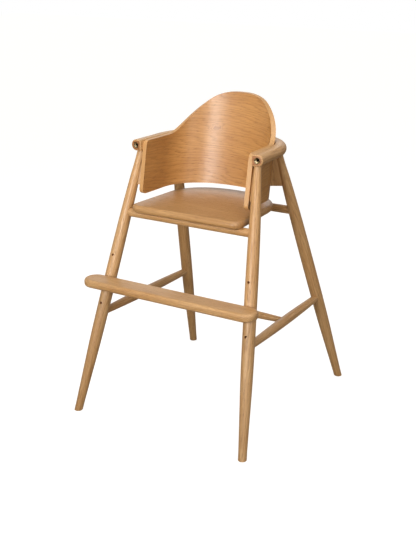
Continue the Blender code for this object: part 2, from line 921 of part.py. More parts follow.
def drill_leg(leg, side):
    """Three bolt holes, counterbored at the back for the bolt's head."""
    for i, step in enumerate((-1, 0, 1)):
        z = FOOTREST_HEIGHT + step * FOOTREST_PITCH
        axis = leg_at(True, side, z)
        profile = (
            (0.0, DRILL_REACH),
            (COUNTERBORE_RADIUS, DRILL_REACH),
            (COUNTERBORE_RADIUS, COUNTERBORE_FROM_AXIS),
            (BOLT_HOLE, COUNTERBORE_FROM_AXIS),
            (BOLT_HOLE, -DRILL_REACH),
            (0.0, -DRILL_REACH),
        )
        matrix = along(axis, axis + Vector((0, 1, 0)))
        boolean(leg, lathe(f"{leg.name}_bolt_hole_{i}", profile, SMALL_STEPS, matrix))


def footrest_insert_front(side):
    """Where the threaded insert's open end stands, just inside the board's saddle."""
    axis = leg_at(True, side, FOOTREST_HEIGHT)
    y = footrest_back() - FOOTREST_SADDLE - INSERT_SETBACK
    return Vector((axis.x, y, FOOTREST_HEIGHT))


def make_insert(board, side):
    where = "right" if side > 0 else "left"
    mouth = footrest_insert_front(side)
    bottom = mouth - Vector((0, INSERT_LENGTH, 0))
    hole_end = bottom - Vector((0, CLEARANCE, 0))
    hole_start = mouth + Vector((0, OVERRUN, 0))
    name = f"footrest_insert_{where}"
    radius = INSERT_RADIUS + CLEARANCE
    boolean(board, rod(name + "_hole", hole_start, hole_end, radius))
    bore = BOLT_RADIUS + CLEARANCE
    profile = (
        (0.0, INSERT_FLOOR),
        (bore, INSERT_FLOOR),
        (bore, INSERT_LENGTH),
        (INSERT_RADIUS, INSERT_LENGTH),
        (INSERT_RADIUS, 0.0),
        (0.0, 0.0),
    )
    return lathe(name, profile, SMALL_STEPS, along(bottom, mouth), brass())


def make_bolt(side):
    """A flat-headed bolt, its head down in the counterbore, and the washer under it."""
    where = "right" if side > 0 else "left"
    axis = leg_at(True, side, FOOTREST_HEIGHT)
    seat = axis + Vector((0, COUNTERBORE_FROM_AXIS + CLEARANCE, 0))
    back = Vector((0, 1, 0))
    ring = (
        (BOLT_HOLE, 0.0),
        (BOLT_HOLE, WASHER),
        (WASHER_RADIUS, WASHER),
        (WASHER_RADIUS, 0.0),
        (BOLT_HOLE, 0.0),
    )
    washer = lathe(f"footrest_washer_{where}", ring, ROD_STEPS, along(seat, seat + back), brass())
    tip = footrest_insert_front(side).y - BOLT_GRIP
    under_head = seat.y + WASHER + CLEARANCE
    shank = under_head - tip
    profile = (
        (0.0, shank + BOLT_HEAD),
        (BOLT_HEAD_RADIUS - BOLT_CHAMFER, shank + BOLT_HEAD),
        (BOLT_HEAD_RADIUS, shank + BOLT_HEAD - BOLT_CHAMFER),
        (BOLT_HEAD_RADIUS, shank),
        (BOLT_RADIUS, shank),
        (BOLT_RADIUS, BOLT_CHAMFER),
        (BOLT_RADIUS - BOLT_CHAMFER, 0.0),
        (0.0, 0.0),
    )
    start = Vector((axis.x, tip, axis.z))
    bolt = lathe(f"footrest_bolt_{where}", profile, ROD_STEPS, along(start, start + back), brass())
    head = start + back * (shank + BOLT_HEAD)
    bottom = head - back * HEX_DEPTH
    boolean(bolt, rod(bolt.name + "_socket", bottom, head + back * OVERRUN, HEX_SOCKET, 6))
    return bolt, washer


# --- the whole chair -------------------------------------------------------


def main():
    clear_scene()
    envelopes = {key: leg_envelope(*key) for key in CORNERS}
    legs = {key: make_leg(*key) for key in CORNERS}
    core = shell_core()
    rail = make_rail(core)
    make_shell()
    for key in CORNERS:
        make_gusset(*key, core, envelopes[key])
    seat = make_seat()
    seat_rails = {front: make_seat_rail(front, legs, envelopes) for front in (True, False)}
    for front, side, place in screw_places():
        make_screw(front, side, place, seat_rails[front], seat)
    stretchers = {side: make_side_stretcher(side, legs, envelopes) for side in (-1, 1)}
    make_cross_stretcher(stretchers)
    board = make_footrest(envelopes)
    for side in (-1, 1):
        make_rail_socket(rail, side)
        drill_leg(legs[(True, side)], side)
        make_insert(board, side)
        make_bolt(side)


main()
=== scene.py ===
"""Finish and fine surfaces of an oak baby high chair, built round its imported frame.

Every wooden piece carries a "grain" attribute: where each point lay in its plank,
in metres, with x along the fibres. The oak reads it, so the figure follows the
legs, bends with the arm rail and wraps round the moulded shell.
"""

import math

import bmesh
import bpy
import numpy as np
from mathutils import Matrix, Vector


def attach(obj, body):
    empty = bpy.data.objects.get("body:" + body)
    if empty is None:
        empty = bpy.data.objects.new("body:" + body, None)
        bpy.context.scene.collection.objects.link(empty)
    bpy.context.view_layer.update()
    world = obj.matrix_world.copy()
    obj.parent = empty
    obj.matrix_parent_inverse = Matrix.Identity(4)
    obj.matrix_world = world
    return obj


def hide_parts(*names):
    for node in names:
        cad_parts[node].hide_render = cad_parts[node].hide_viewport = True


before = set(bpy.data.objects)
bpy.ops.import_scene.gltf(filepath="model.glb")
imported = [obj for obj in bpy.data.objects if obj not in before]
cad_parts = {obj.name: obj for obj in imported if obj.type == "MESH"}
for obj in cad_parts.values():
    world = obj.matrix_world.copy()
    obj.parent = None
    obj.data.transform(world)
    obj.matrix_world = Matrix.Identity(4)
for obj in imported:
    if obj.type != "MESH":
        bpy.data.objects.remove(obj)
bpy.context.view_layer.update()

# --- sizes, in metres --------------------------------------------------------

CLEARANCE = 0.0003
BURIED = 0.003  # how far a joint runs on inside its neighbour

FRONT_FOOT_HALF = 0.2497
REAR_FOOT_HALF = 0.2432
FOOT_REACH = 0.2723
SEAT_HEIGHT = 0.5395
RAIL_HEIGHT = 0.6785

RAIL_WIDTH = 0.030
RAIL_DEPTH = 0.0285
RAIL_HALF = 0.1702
RAIL_BOW = 0.1401
RAIL_BOW_Y = 0.0051
RAIL_SQUARENESS = 2.21
RAIL_END_FLARE = 0.0045
RAIL_END_Y = -0.0818
RAIL_OUTER_ROUND = 0.0141
RAIL_INNER_ROUND = 0.003
RAIL_END_ROUND = 0.0030
RAIL_UNDERSIDE = RAIL_HEIGHT - RAIL_DEPTH / 2

FRONT_LEG_TOP_Y = -0.0667
REAR_LEG_TOP_Y = 0.0639
FRONT_LEG_GAP = 0.0009
REAR_LEG_GAP = 0.0012
LEG_RADIUS = 0.0157
LEG_SHAPE = (
    (0.0, 0.67),
    (0.08, 0.735),
    (0.16, 0.825),
    (0.27, 0.945),
    (0.36, 0.988),
    (0.47, 1.0),
    (0.60, 0.993),
    (0.68, 0.968),
    (0.75, 0.93),
    (0.82, 0.866),
    (0.90, 0.765),
    (1.0, 0.612),
)
LEG_TOP_Z = RAIL_UNDERSIDE - CLEARANCE
LEG_WASTE = 0.012
FOOT_FLAT = 0.0097

SHELL_THICKNESS = 0.0115
SHELL_LEAN = 0.20
SHELL_FRONT_Y = RAIL_END_Y + 0.0086
SHELL_BOTTOM = SEAT_HEIGHT + 0.0185
SHELL_ARM_TOP = RAIL_HEIGHT + RAIL_DEPTH / 2 - 0.0018
SHELL_CREST = 0.1023
SHELL_CREST_HALF = 0.202
SHELL_CREST_SHAPE = (
    (0.0, 1.0),
    (0.19, 0.974),
    (0.37, 0.864),
    (0.54, 0.636),
    (0.68, 0.405),
    (0.80, 0.195),
    (0.90, 0.06),
    (1.0, 0.0),
)
SHELL_TOP_CORNER = 0.010
SHELL_BOTTOM_CORNER = 0.014
SHELL_EDGE = 0.0042
SHELL_OFFSET = -RAIL_WIDTH / 2

SEAT_THICKNESS = 0.020
SEAT_SIDE_GAP = 0.0112
SEAT_TAPER = 0.0085
SEAT_SIDE_END_Y = 0.010
SEAT_FRONT_OVERHANG = 0.0276
SEAT_BACK_OVERHANG = 0.0168
SEAT_CORNER = 0.025
SEAT_SQUARENESS = 2.25
SEAT_EDGE = 0.0092
SEAT_BOTTOM = SEAT_HEIGHT - SEAT_THICKNESS

SEAT_RAIL_RADIUS = 0.0105
SEAT_RAIL_Z = SEAT_BOTTOM + 0.002 - SEAT_RAIL_RADIUS
STRETCHER_HEIGHT = 0.2556
STRETCHER_RADIUS = 0.0120
STRETCHER_END = 0.0088
CROSS_RADIUS = 0.0112
CROSS_END = 0.0070

GUSSET_THICKNESS = 0.012
GUSSET_DROP = 0.084
FRONT_GUSSET_TOP = 0.009
GUSSET_ANGLE = math.radians(30)
GUSSET_EDGE = 0.0008

FOOTREST_HEIGHT = 0.3454
FOOTREST_PITCH = 0.0614
FOOTREST_THICKNESS = 0.021
FOOTREST_HALF = 0.250
FOOTREST_DEPTH = 0.059
FOOTREST_EDGE = 0.0078
FOOTREST_SADDLE = 0.0015

BOLT_HOLE = 0.0032
COUNTERBORE_RADIUS = 0.0080
COUNTERBORE_FROM_AXIS = 0.0075

BOLT_RADIUS = 0.0029
BOLT_HEAD_RADIUS = 0.0065
BOLT_HEAD = 0.0042
BOLT_GRIP = 0.012
THREAD_PITCH = 0.001
WASHER_RADIUS = 0.0075
WASHER = 0.0012
INSERT_RADIUS = 0.0045
INSERT_LENGTH = 0.014
INSERT_SETBACK = 0.0022
INSERT_FLOOR = 0.0012
HEX_SOCKET = 0.0023
HEX_DEPTH = 0.0026
SOCKET_RADIUS = 0.008
SOCKET_FLANGE = 0.003
SOCKET_BARREL = 0.005
SOCKET_LENGTH = 0.014
SOCKET_MOUTH = 0.0068
SOCKET_BORE = 0.0030
SOCKET_BORE_DEPTH = 0.012
ARRIS = 0.0003  # the small turned chamfer on a metal edge

SCREW_RADIUS = 0.0020
SCREW_HEAD = 0.0040
SCREW_BITE = 0.012
SCREW_SINK = 0.0008
SCREW_POINT = 0.003
SCREW_HALF_SPACING = {"front": 0.095, "rear": 0.045}
CROSS_RECESS = 0.55  # half the length of the screw's cross, as a share of the head
CROSS_ARM = 0.16  # and half its width

SIDES = {-1: "left", 1: "right"}
CORNERS = ((True, -1), (True, 1), (False, -1), (False, 1))
BACKWARDS = Vector((0, 1, 0))  # the way the footrest bolts draw out
WOOD_ANGLE = 35  # an edge that turns by more degrees than this stays crisp
METAL_ANGLE = 25

# --- where each piece was cut from the tree, and how it was rolled about its fibres

PLANK_STEP = (0.83, 0.0041, 0.0067)
RAIL_PLANK = (3.1, 0.012, 0.004)
FIRST_BAR_PLANK = 5
FIRST_GUSSET_PLANK = 11
SEAT_PLANK = 1.0
FOOTREST_PLANK = 3.0
LEG_ROLL = 1.9
BAR_ROLL = 2.3
GUSSET_ROLL = 0.7
SEAT_ROLL = 0.35
FOOTREST_ROLL = 0.9

# --- stage, lamps and camera -------------------------------------------------

FLOOR_HALF = 9
PAPER_GLOW = 0.9
ROOM_SHADE = (0.8, 0.6, -0.1)  # the way to the room's darker side
ROOM_LIGHT = 0.40
ROOM_DARK = 0.30
ROOM_GLEAM = 0.5  # how much brighter the room is in reflections
LAMPS = (  # name, place, target, width, height, watts, spread in degrees
    ("key", (0.1, -2.3, 1.15), (0.0, 0.0, 1.02), 0.75, 1.1, 8.0, 68),
    ("fill", (2.7, -1.9, 1.5), (0.0, 0.0, 0.5), 1.6, 1.8, 12, 120),
    ("top", (0.3, -0.4, 2.7), (0.0, 0.0, 0.5), 1.6, 1.6, 16, 140),
    ("back", (-1.3, 2.6, 1.6), (0.0, 0.0, 0.5), 2.0, 1.4, 3, 120),
)
CAMERA_PLACE = (1.27923, -2.03917, 1.19973)
CAMERA_AZIMUTH = math.radians(32.41)
CAMERA_ELEVATION = math.radians(19.83)
CAMERA_ROLL = math.radians(-0.48)
CAMERA_LENS = 63.55
CAMERA_SENSOR = 36.0


# --- nodes and colours -------------------------------------------------------


MIX_A, MIX_B = 6, 7  # a Mix node's colour sockets, whose names it shares with others


def add(tree, kind, inputs=None, stops=(), **settings):
    """Adds a node: settings, inputs set or linked, and (place, brightness) stops of its ramp."""
    made = tree.nodes.new(kind)
    for name, value in settings.items():
        setattr(made, name, value)
    for key, value in (inputs or {}).items():
        if isinstance(value, bpy.types.Node):
            value = next(socket for socket in value.outputs if socket.enabled)
        if isinstance(value, bpy.types.NodeSocket):
            tree.links.new(value, made.inputs[key])
        else:
            made.inputs[key].default_value = value
    for i, (place, level) in enumerate(stops):
        band = made.color_ramp.elements
        if i == len(band):
            band.new(1.0)
        band[i].position = place
        band[i].color = (level, level, level, 1.0)
    return made


def colour(code):
    """An sRGB hex value as linear light."""
    found = []
    for i in (0, 2, 4):
        c = int(code[i : i + 2], 16) / 255
        found.append(c / 12.92 if c <= 0.04045 else ((c + 0.055) / 1.055) ** 2.4)
    return (*found, 1.0)


def new_material(name, **shading):
    made = bpy.data.materials.new(name)
    made.use_nodes = True
    shader = made.node_tree.nodes["Principled BSDF"]
    for socket, value in shading.items():
        shader.inputs[socket.replace("_", " ")].default_value = value
    return made, made.node_tree, shader


# --- finishes ----------------------------------------------------------------


# Features per metre along and across the fibres, and their size in millimetres.
WANDER = (6.0, 14.0)  # 170 by 70: slow bends of the rings
UNEVEN = (2.0, 60.0)  # 500 by 17: wide years and narrow years
FIBRE = (16.0, 330.0)  # 62 by 3: bundles of fibres, coarser than real ones so that they show
PATCH = (4.0, 22.0)  # 250 by 45: paler and darker areas
PORE = (75.0, 900.0)  # 13 by 1.1: open pores, twice as wide as real ones so that they show
TWIST = (70.0, 110.0)  # 14 by 9: fibres thrown about by a knot
RINGS_OF_SWAY = 4.0  # how many rings' width the slow bends reach
RINGS_OF_UNEVENNESS = 3.0
KNOT_STIR = Vector((0.02, 0.013, 0.0))
KNOT_SQUEEZE = (1.0, 1.9, 0.0)  # a knot is nearly twice as long as it is wide
VENEERS = 7
SAW_SPECKS = (260, 260, 900)  # 4 by 4 by 1.1: the mottle of a sawn and sanded edge
TARNISH = 350.0  # patches of 3


def streaks(tree, grain, per_metre, detail, rough=0.5):
    """Noise drawn out along the fibres."""
    length, width = per_metre
    size = (length, width, width)
    place = add(tree, "ShaderNodeVectorMath", {0: grain, 1: size}, operation="MULTIPLY")
    return add(
        tree,
        "ShaderNodeTexNoise",
        {"Vector": place, "Scale": 1.0, "Detail": detail, "Roughness": rough},
    )


def from_pith(tree, grain, ring, taper, pith):
    """Distance from the heart of the tree, uneven as its rings are."""
    wander = streaks(tree, grain, WANDER, 2.0).outputs["Color"]
    sway = {0: wander, 1: (0.0, RINGS_OF_SWAY * ring, RINGS_OF_SWAY * ring), 2: grain}
    sway = add(tree, "ShaderNodeVectorMath", sway, operation="MULTIPLY_ADD")
    place = add(tree, "ShaderNodeVectorMath", {0: sway, 1: (0.0, *pith)}, operation="ADD")
    flat = {0: place, 1: (0.0, 1.0, 1.0)}
    flat = add(tree, "ShaderNodeVectorMath", flat, operation="MULTIPLY")
    radius = add(tree, "ShaderNodeVectorMath", {0: flat}, operation="LENGTH")
    length = add(tree, "ShaderNodeSeparateXYZ", {0: grain}).outputs["X"]
    tapered = {0: length, 1: taper, 2: radius}
    tapered = add(tree, "ShaderNodeMath", tapered, operation="MULTIPLY_ADD")
    uneven = {0: streaks(tree, grain, UNEVEN, 2.0), 1: RINGS_OF_UNEVENNESS * ring, 2: tapered}
    return add(tree, "ShaderNodeMath", uneven, operation="MULTIPLY_ADD")


def round_knot(tree, grain, centre, reach, lift):
    """How far a knot lifts the rings, from lift at its middle to nothing at its reach."""
    twist = streaks(tree, grain, TWIST, 1.0).outputs["Color"]
    bent = {0: twist, 1: KNOT_STIR, 2: grain}
    bent = add(tree, "ShaderNodeVectorMath", bent, operation="MULTIPLY_ADD")
    bent = {0: bent, 1: KNOT_STIR / 2}
    bent = add(tree, "ShaderNodeVectorMath", bent, operation="SUBTRACT")
    place = {0: bent, 1: KNOT_SQUEEZE}
    place = add(tree, "ShaderNodeVectorMath", place, operation="MULTIPLY")
    middle = (centre[0], centre[1] * KNOT_SQUEEZE[1], 0.0)
    gap = add(tree, "ShaderNodeVectorMath", {0: place, 1: middle}, operation="DISTANCE")
    return add(
        tree,
        "ShaderNodeMapRange",
        {"Value": gap, "From Min": 0.0, "From Max": reach, "To Min": lift, "To Max": 0.0},
        interpolation_type="SMOOTHERSTEP",
    )


def oak(name, pale, warm, dark, pore, ring, figure, taper, pith, roughness, coat=0.14, knot=None):
    """Oak planed or turned, sanded and given a clear satin lacquer.

    Rings of the tree lie round a pith beside the piece, so flat faces show arches
    and turned ones long lines. Earlywood is a band of open pores: short dark dashes
    along the fibres.
    """
    mat, tree, shader = new_material(name, Coat_Weight=coat, Coat_Roughness=0.34, IOR=1.5)
    grain = add(tree, "ShaderNodeAttribute", attribute_name="grain").outputs["Vector"]
    radius = from_pith(tree, grain, ring, taper, pith)
    if knot:
        lifted = round_knot(tree, grain, **knot)
        radius = add(tree, "ShaderNodeMath", {0: radius, 1: lifted}, operation="ADD")
        figure = {0: lifted, 1: 0.4 / knot["lift"], 2: figure}
        figure = add(tree, "ShaderNodeMath", figure, operation="MULTIPLY_ADD")
    years = add(tree, "ShaderNodeMath", {0: radius, 1: ring}, operation="DIVIDE")
    season = add(tree, "ShaderNodeMath", {0: years}, operation="FRACT")
    spring = ((0.0, 0.75), (0.10, 1.0), (0.42, 0.22), (0.86, 0.0), (1.0, 0.75))
    early = add(tree, "ShaderNodeValToRGB", {"Fac": season}, spring)
    fibre = streaks(tree, grain, FIBRE, 5.0, 0.62)
    patch = streaks(tree, grain, PATCH, 3.0)
    dash = streaks(tree, grain, PORE, 2.0)
    open_pores = ((0.0, 0.0), (0.56, 0.0), (0.66, 1.0), (1.0, 1.0))
    dash = add(tree, "ShaderNodeValToRGB", {"Fac": dash}, open_pores)
    crowd = {0: early, 1: 0.75, 2: 0.25}
    crowd = add(tree, "ShaderNodeMath", crowd, operation="MULTIPLY_ADD")
    pores = add(tree, "ShaderNodeMath", {0: dash, 1: crowd}, operation="MULTIPLY")

    tone = add(tree, "ShaderNodeMath", {0: patch, 1: 1.2, 2: -0.85}, operation="MULTIPLY_ADD")
    tone = add(tree, "ShaderNodeMath", {0: fibre, 1: 1.5, 2: tone}, operation="MULTIPLY_ADD")
    lines = add(tree, "ShaderNodeMath", {0: early, 1: figure}, operation="MULTIPLY")
    holes = add(tree, "ShaderNodeMath", {0: pores, 1: 0.55}, operation="MULTIPLY")
    wood = colour(pale)
    for share, stain in ((tone, warm), (lines, dark), (holes, pore)):
        layers = {0: share, MIX_A: wood, MIX_B: colour(stain)}
        wood = add(tree, "ShaderNodeMix", layers, data_type="RGBA")
    tree.links.new(wood.outputs[2], shader.inputs["Base Color"])

    matt = {0: pores, 1: 0.15, 2: roughness - 0.06}
    matt = add(tree, "ShaderNodeMath", matt, operation="MULTIPLY_ADD")
    matt = add(tree, "ShaderNodeMath", {0: fibre, 1: 0.12, 2: matt}, operation="MULTIPLY_ADD")
    tree.links.new(matt.outputs[0], shader.inputs["Roughness"])

    relief = add(tree, "ShaderNodeMath", {0: early, 1: -0.45, 2: fibre}, operation="MULTIPLY_ADD")
    relief = add(tree, "ShaderNodeMath", {0: pores, 1: -0.8, 2: relief}, operation="MULTIPLY_ADD")
    bump = add(tree, "ShaderNodeBump", {"Strength": 0.4, "Distance": 0.0006, "Height": relief})
    tree.links.new(bump.outputs[0], shader.inputs["Normal"])
    return mat


def plywood_edge(name, pale, warm):
    """The shell's sawn edge: seven oak veneers, laid crosswise, sanded round and lacquered.

    Veneers seen end on are darker than those that run with the edge, so it is striped.
    """
    mat, tree, shader = new_material(name, Roughness=0.45, Coat_Weight=0.15, Coat_Roughness=0.3)
    grain = add(tree, "ShaderNodeAttribute", attribute_name="grain").outputs["Vector"]
    depth = add(tree, "ShaderNodeSeparateXYZ", {0: grain}).outputs["Z"]
    layer = {0: depth, 1: SHELL_THICKNESS / VENEERS}
    layer = add(tree, "ShaderNodeMath", layer, operation="DIVIDE")
    half = add(tree, "ShaderNodeMath", {0: layer, 1: 0.5}, operation="MULTIPLY")
    phase = add(tree, "ShaderNodeMath", {0: half}, operation="FRACT")
    stripes = ((0.0, 0.0), (0.44, 0.1), (0.5, 1.0), (0.94, 0.75), (1.0, 0.0))
    crosswise = add(tree, "ShaderNodeValToRGB", {"Fac": phase}, stripes)
    place = add(tree, "ShaderNodeVectorMath", {0: grain, 1: SAW_SPECKS}, operation="MULTIPLY")
    speck = add(tree, "ShaderNodeTexNoise", {"Vector": place, "Scale": 1.0, "Detail": 3})
    tone = {0: speck, 1: 0.4, 2: crosswise}
    tone = add(tree, "ShaderNodeMath", tone, operation="MULTIPLY_ADD")
    share = add(tree, "ShaderNodeMath", {0: tone, 1: 0.55}, operation="MULTIPLY")
    layers = {0: share, MIX_A: colour(pale), MIX_B: colour(warm)}
    wood = add(tree, "ShaderNodeMix", layers, data_type="RGBA")
    tree.links.new(wood.outputs[2], shader.inputs["Base Color"])
    return mat


def turned_metal(name, tone, shade, roughness):
    """Brass or zinc plated steel off the lathe: bright, with a little cloudy tarnish."""
    mat, tree, shader = new_material(name, Metallic=1.0)
    place = add(tree, "ShaderNodeTexCoord").outputs["Object"]
    cloud = add(tree, "ShaderNodeTexNoise", {"Vector": place, "Scale": TARNISH, "Detail": 4.0})
    layers = {0: cloud, MIX_A: colour(tone), MIX_B: colour(shade)}
    metal = add(tree, "ShaderNodeMix", layers, data_type="RGBA")
    tree.links.new(metal.outputs[2], shader.inputs["Base Color"])
    matt = {0: cloud, 1: 0.16, 2: roughness - 0.08}
    matt = add(tree, "ShaderNodeMath", matt, operation="MULTIPLY_ADD")
    tree.links.new(matt.outputs[0], shader.inputs["Roughness"])
    return mat


OAK = oak(
    "lacquered_oak",
    pale="D3AC7B",
    warm="B38149",
    dark="966634",
    pore="623D1F",
    ring=0.0034,
    figure=0.42,
    taper=0.02,
    pith=(0.031, 0.047),
    roughness=0.42,
)
SEAT_OAK = oak(
    "lacquered_oak_board",
    pale="BC9260",
    warm="A27343",
    dark="8E6233",
    pore="5A3A1D",
    ring=0.0062,
    figure=0.38,
    taper=0.03,
    pith=(0.018, 0.052),
    roughness=0.36,
)
VENEER = oak(
    "moulded_oak_veneer",
    pale="C08E51",
    warm="A4703A",
    dark="87562A",
    pore="5C3818",
    ring=0.0072,
    figure=0.34,
    taper=0.09,
    pith=(0.030, 0.060),
    roughness=0.40,
    coat=0.3,
    knot={"centre": (-0.062, 0.141), "reach": 0.034, "lift": 0.016},
)
END_GRAIN = oak(
    "oak_end_grain",
    pale="A8713F",
    warm="8C5830",
    dark="7A4824",
    pore="5A3416",
    ring=0.0034,
    figure=0.3,
    taper=0.02,
    pith=(0.031, 0.047),
    roughness=0.5,
)
PLY_EDGE = plywood_edge("oak_plywood_edge", "CA9D66", "A5713D")
BRASS = turned_metal("turned_brass", "CDBB97", "8F7C5A", 0.24)
# Brass painted near black for the socket's bore: painted shade in the deep hole.
PAINTED_BORE_SHADE_BRASS = turned_metal("brass_painted_bore_shade", "3A3022", "1A150F", 0.5)
STEEL = turned_metal("zinc_plated_steel", "B9BCC0", "94979C", 0.34)


# --- shapes ------------------------------------------------------------------


def interpolate(table, x):
    """A smooth curve through (x, y) pairs."""
    if x <= table[0][0]:
        return table[0][1]
    if x >= table[-1][0]:
        return table[-1][1]
    i = max(k for k in range(len(table) - 1) if table[k][0] <= x)
    (x0, y0), (x1, y1) = table[i], table[i + 1]
    before = table[i - 1] if i else (x0 - (x1 - x0), y1)
    after = table[i + 2] if i + 2 < len(table) else (x1 + (x1 - x0), y1)
    m0 = (y1 - before[1]) / (x1 - before[0]) * (x1 - x0)
    m1 = (after[1] - y0) / (after[0] - x0) * (x1 - x0)
    t = (x - x0) / (x1 - x0)
    return (
        (2 * t**3 - 3 * t**2 + 1) * y0
        + (t**3 - 2 * t**2 + t) * m0
        + (3 * t**2 - 2 * t**3) * y1
        + (t**3 - t**2) * m1
    )


def object_of(name, bm, *finishes):
    mesh = bpy.data.meshes.new(name)
    bmesh.ops.recalc_face_normals(bm, faces=bm.faces)
    bm.to_mesh(mesh)
    bm.free()
    obj = bpy.data.objects.new(name, mesh)
    bpy.context.scene.collection.objects.link(obj)
    for finish in finishes:
        mesh.materials.append(finish)
    return obj


def loft(name, rings, *finishes):
    """Rings of the same count, skinned in order and closed at both ends."""
    bm = bmesh.new()
    loops = [[bm.verts.new(point) for point in ring] for ring in rings]
    for first, second in zip(loops, loops[1:]):
        for i in range(len(first)):
            j = (i + 1) % len(first)
            bm.faces.new((first[i], first[j], second[j], second[i]))
    bm.faces.new(loops[0][::-1])
    bm.faces.new(loops[-1])
    return object_of(name, bm, *finishes)


def along(start, end):
    """The matrix that puts +Z on the line from start to end."""
    turn = Vector((0, 0, 1)).rotation_difference((end - start).normalized())
    return Matrix.Translation(start) @ turn.to_matrix().to_4x4()


def turned(name, profile, matrix, *finishes, steps=48):
    """A closed turning from (radius, height) pairs that leave and return to the axis."""
    bm = bmesh.new()
    rings = []
    for radius, height in profile:
        if radius == 0.0:
            rings.append([bm.verts.new((0.0, 0.0, height))])
            continue
        angles = [2 * math.pi * i / steps for i in range(steps)]
        rings.append(
            [bm.verts.new((radius * math.cos(a), radius * math.sin(a), height)) for a in angles]
        )
    for first, second in zip(rings, rings[1:]):
        for i in range(steps):
            j = (i + 1) % steps
            corners = [first[i % len(first)], first[j % len(first)]]
            corners += [second[j % len(second)], second[i % len(second)]]
            corners = list(dict.fromkeys(corners))
            if len(corners) > 2:
                bm.faces.new(corners)
    bmesh.ops.transform(bm, matrix=matrix, verts=bm.verts)
    return object_of(name, bm, *finishes)


def pin(name, start, end, radius, steps=48):
    """A plain round cutter."""
    length = (end - start).length
    profile = ((0.0, 0.0), (radius, 0.0), (radius, length), (0.0, length))
    return turned(name, profile, along(start, end), steps=steps)


def combine(obj, cutter, operation="DIFFERENCE"):
    """Cuts or joins obj with the cutter, which is then removed."""
    step = obj.modifiers.new("cut", "BOOLEAN")
    step.operation = operation
    step.solver = "EXACT"
    step.material_mode = "TRANSFER"
    step.object = cutter
    if not cutter.data.materials:
        cutter.data.materials.append(obj.data.materials[0])
    settle(obj)
    bpy.data.objects.remove(cutter)


def settle(obj):
    """Makes obj's modifiers part of its mesh."""
    graph = bpy.context.evaluated_depsgraph_get()
    mesh = bpy.data.meshes.new_from_object(obj.evaluated_get(graph))
    obj.modifiers.clear()
    obj.data = mesh


def soften(obj, width, segments, angle=50):
    """Rounds the sharp edges."""
    bevel = obj.modifiers.new("edges", "BEVEL")
    bevel.width = width
    bevel.segments = segments
    bevel.limit_method = "ANGLE"
    bevel.angle_limit = math.radians(angle)
    settle(obj)


def smooth(obj, angle):
    """Shades smoothly with the large faces kept flat."""
    obj.data.shade_smooth()
    obj.data.set_sharp_from_angle(angle=math.radians(angle))
    weights = obj.modifiers.new("weights", "WEIGHTED_NORMAL")
    weights.keep_sharp = True
    settle(obj)


def fit(obj, body, node, angle=WOOD_ANGLE):
    """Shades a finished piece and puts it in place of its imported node."""
    smooth(obj, angle)
    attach(obj, body)
    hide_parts(node)


def points_of(obj):
    co = np.empty(len(obj.data.vertices) * 3, np.float32)
    obj.data.vertices.foreach_get("co", co)
    return co.reshape(-1, 3).astype(float)


def store_grain(obj, places):
    made = obj.data.attributes.new("grain", "FLOAT_VECTOR", "POINT")
    made.data.foreach_set("vector", np.ascontiguousarray(places, np.float32).ravel())


def straight_grain(obj, start, end, plank, roll):
    """Fibres that run from start to end. plank picks another place in the tree for each piece."""
    turn = along(Vector(start), Vector(end)).to_3x3() @ Matrix.Rotation(roll, 3, "Z")
    local = (points_of(obj) - np.array(start)) @ np.array(turn)
    places = np.stack([local[:, 2], local[:, 0], local[:, 1]], axis=1)
    store_grain(obj, places + np.array(PLANK_STEP) * plank)


# --- the plan curve of rail and shell ----------------------------------------


def rail_points(arm_steps=16, bow_steps=160):
    """The rail's centre line in plan from the right end round the back to the left."""
    right = []
    for i in range(arm_steps):
        t = i / arm_steps
        x = RAIL_HALF + RAIL_END_FLARE * (1 - t) ** 1.5
        right.append(Vector((x, RAIL_END_Y + (RAIL_BOW_Y - RAIL_END_Y) * t)))
    power = 2 / RAIL_SQUARENESS
    bow = []
    for i in range(bow_steps + 1):
        angle = math.pi * i / bow_steps
        across = math.cos(angle)
        x = RAIL_HALF * math.copysign(abs(across) ** power, across)
        bow.append(Vector((x, RAIL_BOW_Y + RAIL_BOW * max(math.sin(angle), 0.0) ** power)))
    return right + bow + [Vector((-p.x, p.y)) for p in reversed(right)]


def outward(points, i):
    run = points[min(i + 1, len(points) - 1)] - points[max(i - 1, 0)]
    run.normalize()
    return Vector((run.y, -run.x))


def offset_points(distance):
    points = rail_points()
    return [p + outward(points, i) * distance for i, p in enumerate(points)]


def lengths_of(points):
    """Length along the points, measured from the middle."""
    total = [0.0]
    for first, second in zip(points, points[1:]):
        total.append(total[-1] + (second - first).length)
    return [d - total[-1] / 2 for d in total]


class PlanCurve:
    """A plan curve that knows its lengths from the middle of the back."""

    def __init__(self, distance):
        self.points = offset_points(distance)
        self.lengths = lengths_of(self.points)

    def at(self, s):
        i = max(k for k in range(len(self.lengths) - 1) if self.lengths[k] <= s)
        share = (s - self.lengths[i]) / (self.lengths[i + 1] - self.lengths[i])
        return self.points[i].lerp(self.points[i + 1], min(max(share, 0.0), 1.0))

    def unbend(self, plan):
        """(length along, distance outside) of plan points."""
        line = np.array([tuple(p) for p in self.points])
        lengths = np.array(self.lengths)
        first, run = line[:-1], np.diff(line, axis=0)
        size = np.linalg.norm(run, axis=1)
        gap = plan[:, None, :] - first[None]
        share = np.clip((gap * run).sum(2) / size**2, 0, 1)
        off = gap - share[..., None] * run
        best = np.argmin((off**2).sum(2), axis=1)
        rows = np.arange(len(plan))
        away = np.stack([run[:, 1], -run[:, 0]], axis=1) / size[:, None]
        outside = (off[rows, best] * away[best]).sum(1)
        return lengths[best] + share[rows, best] * size[best], outside


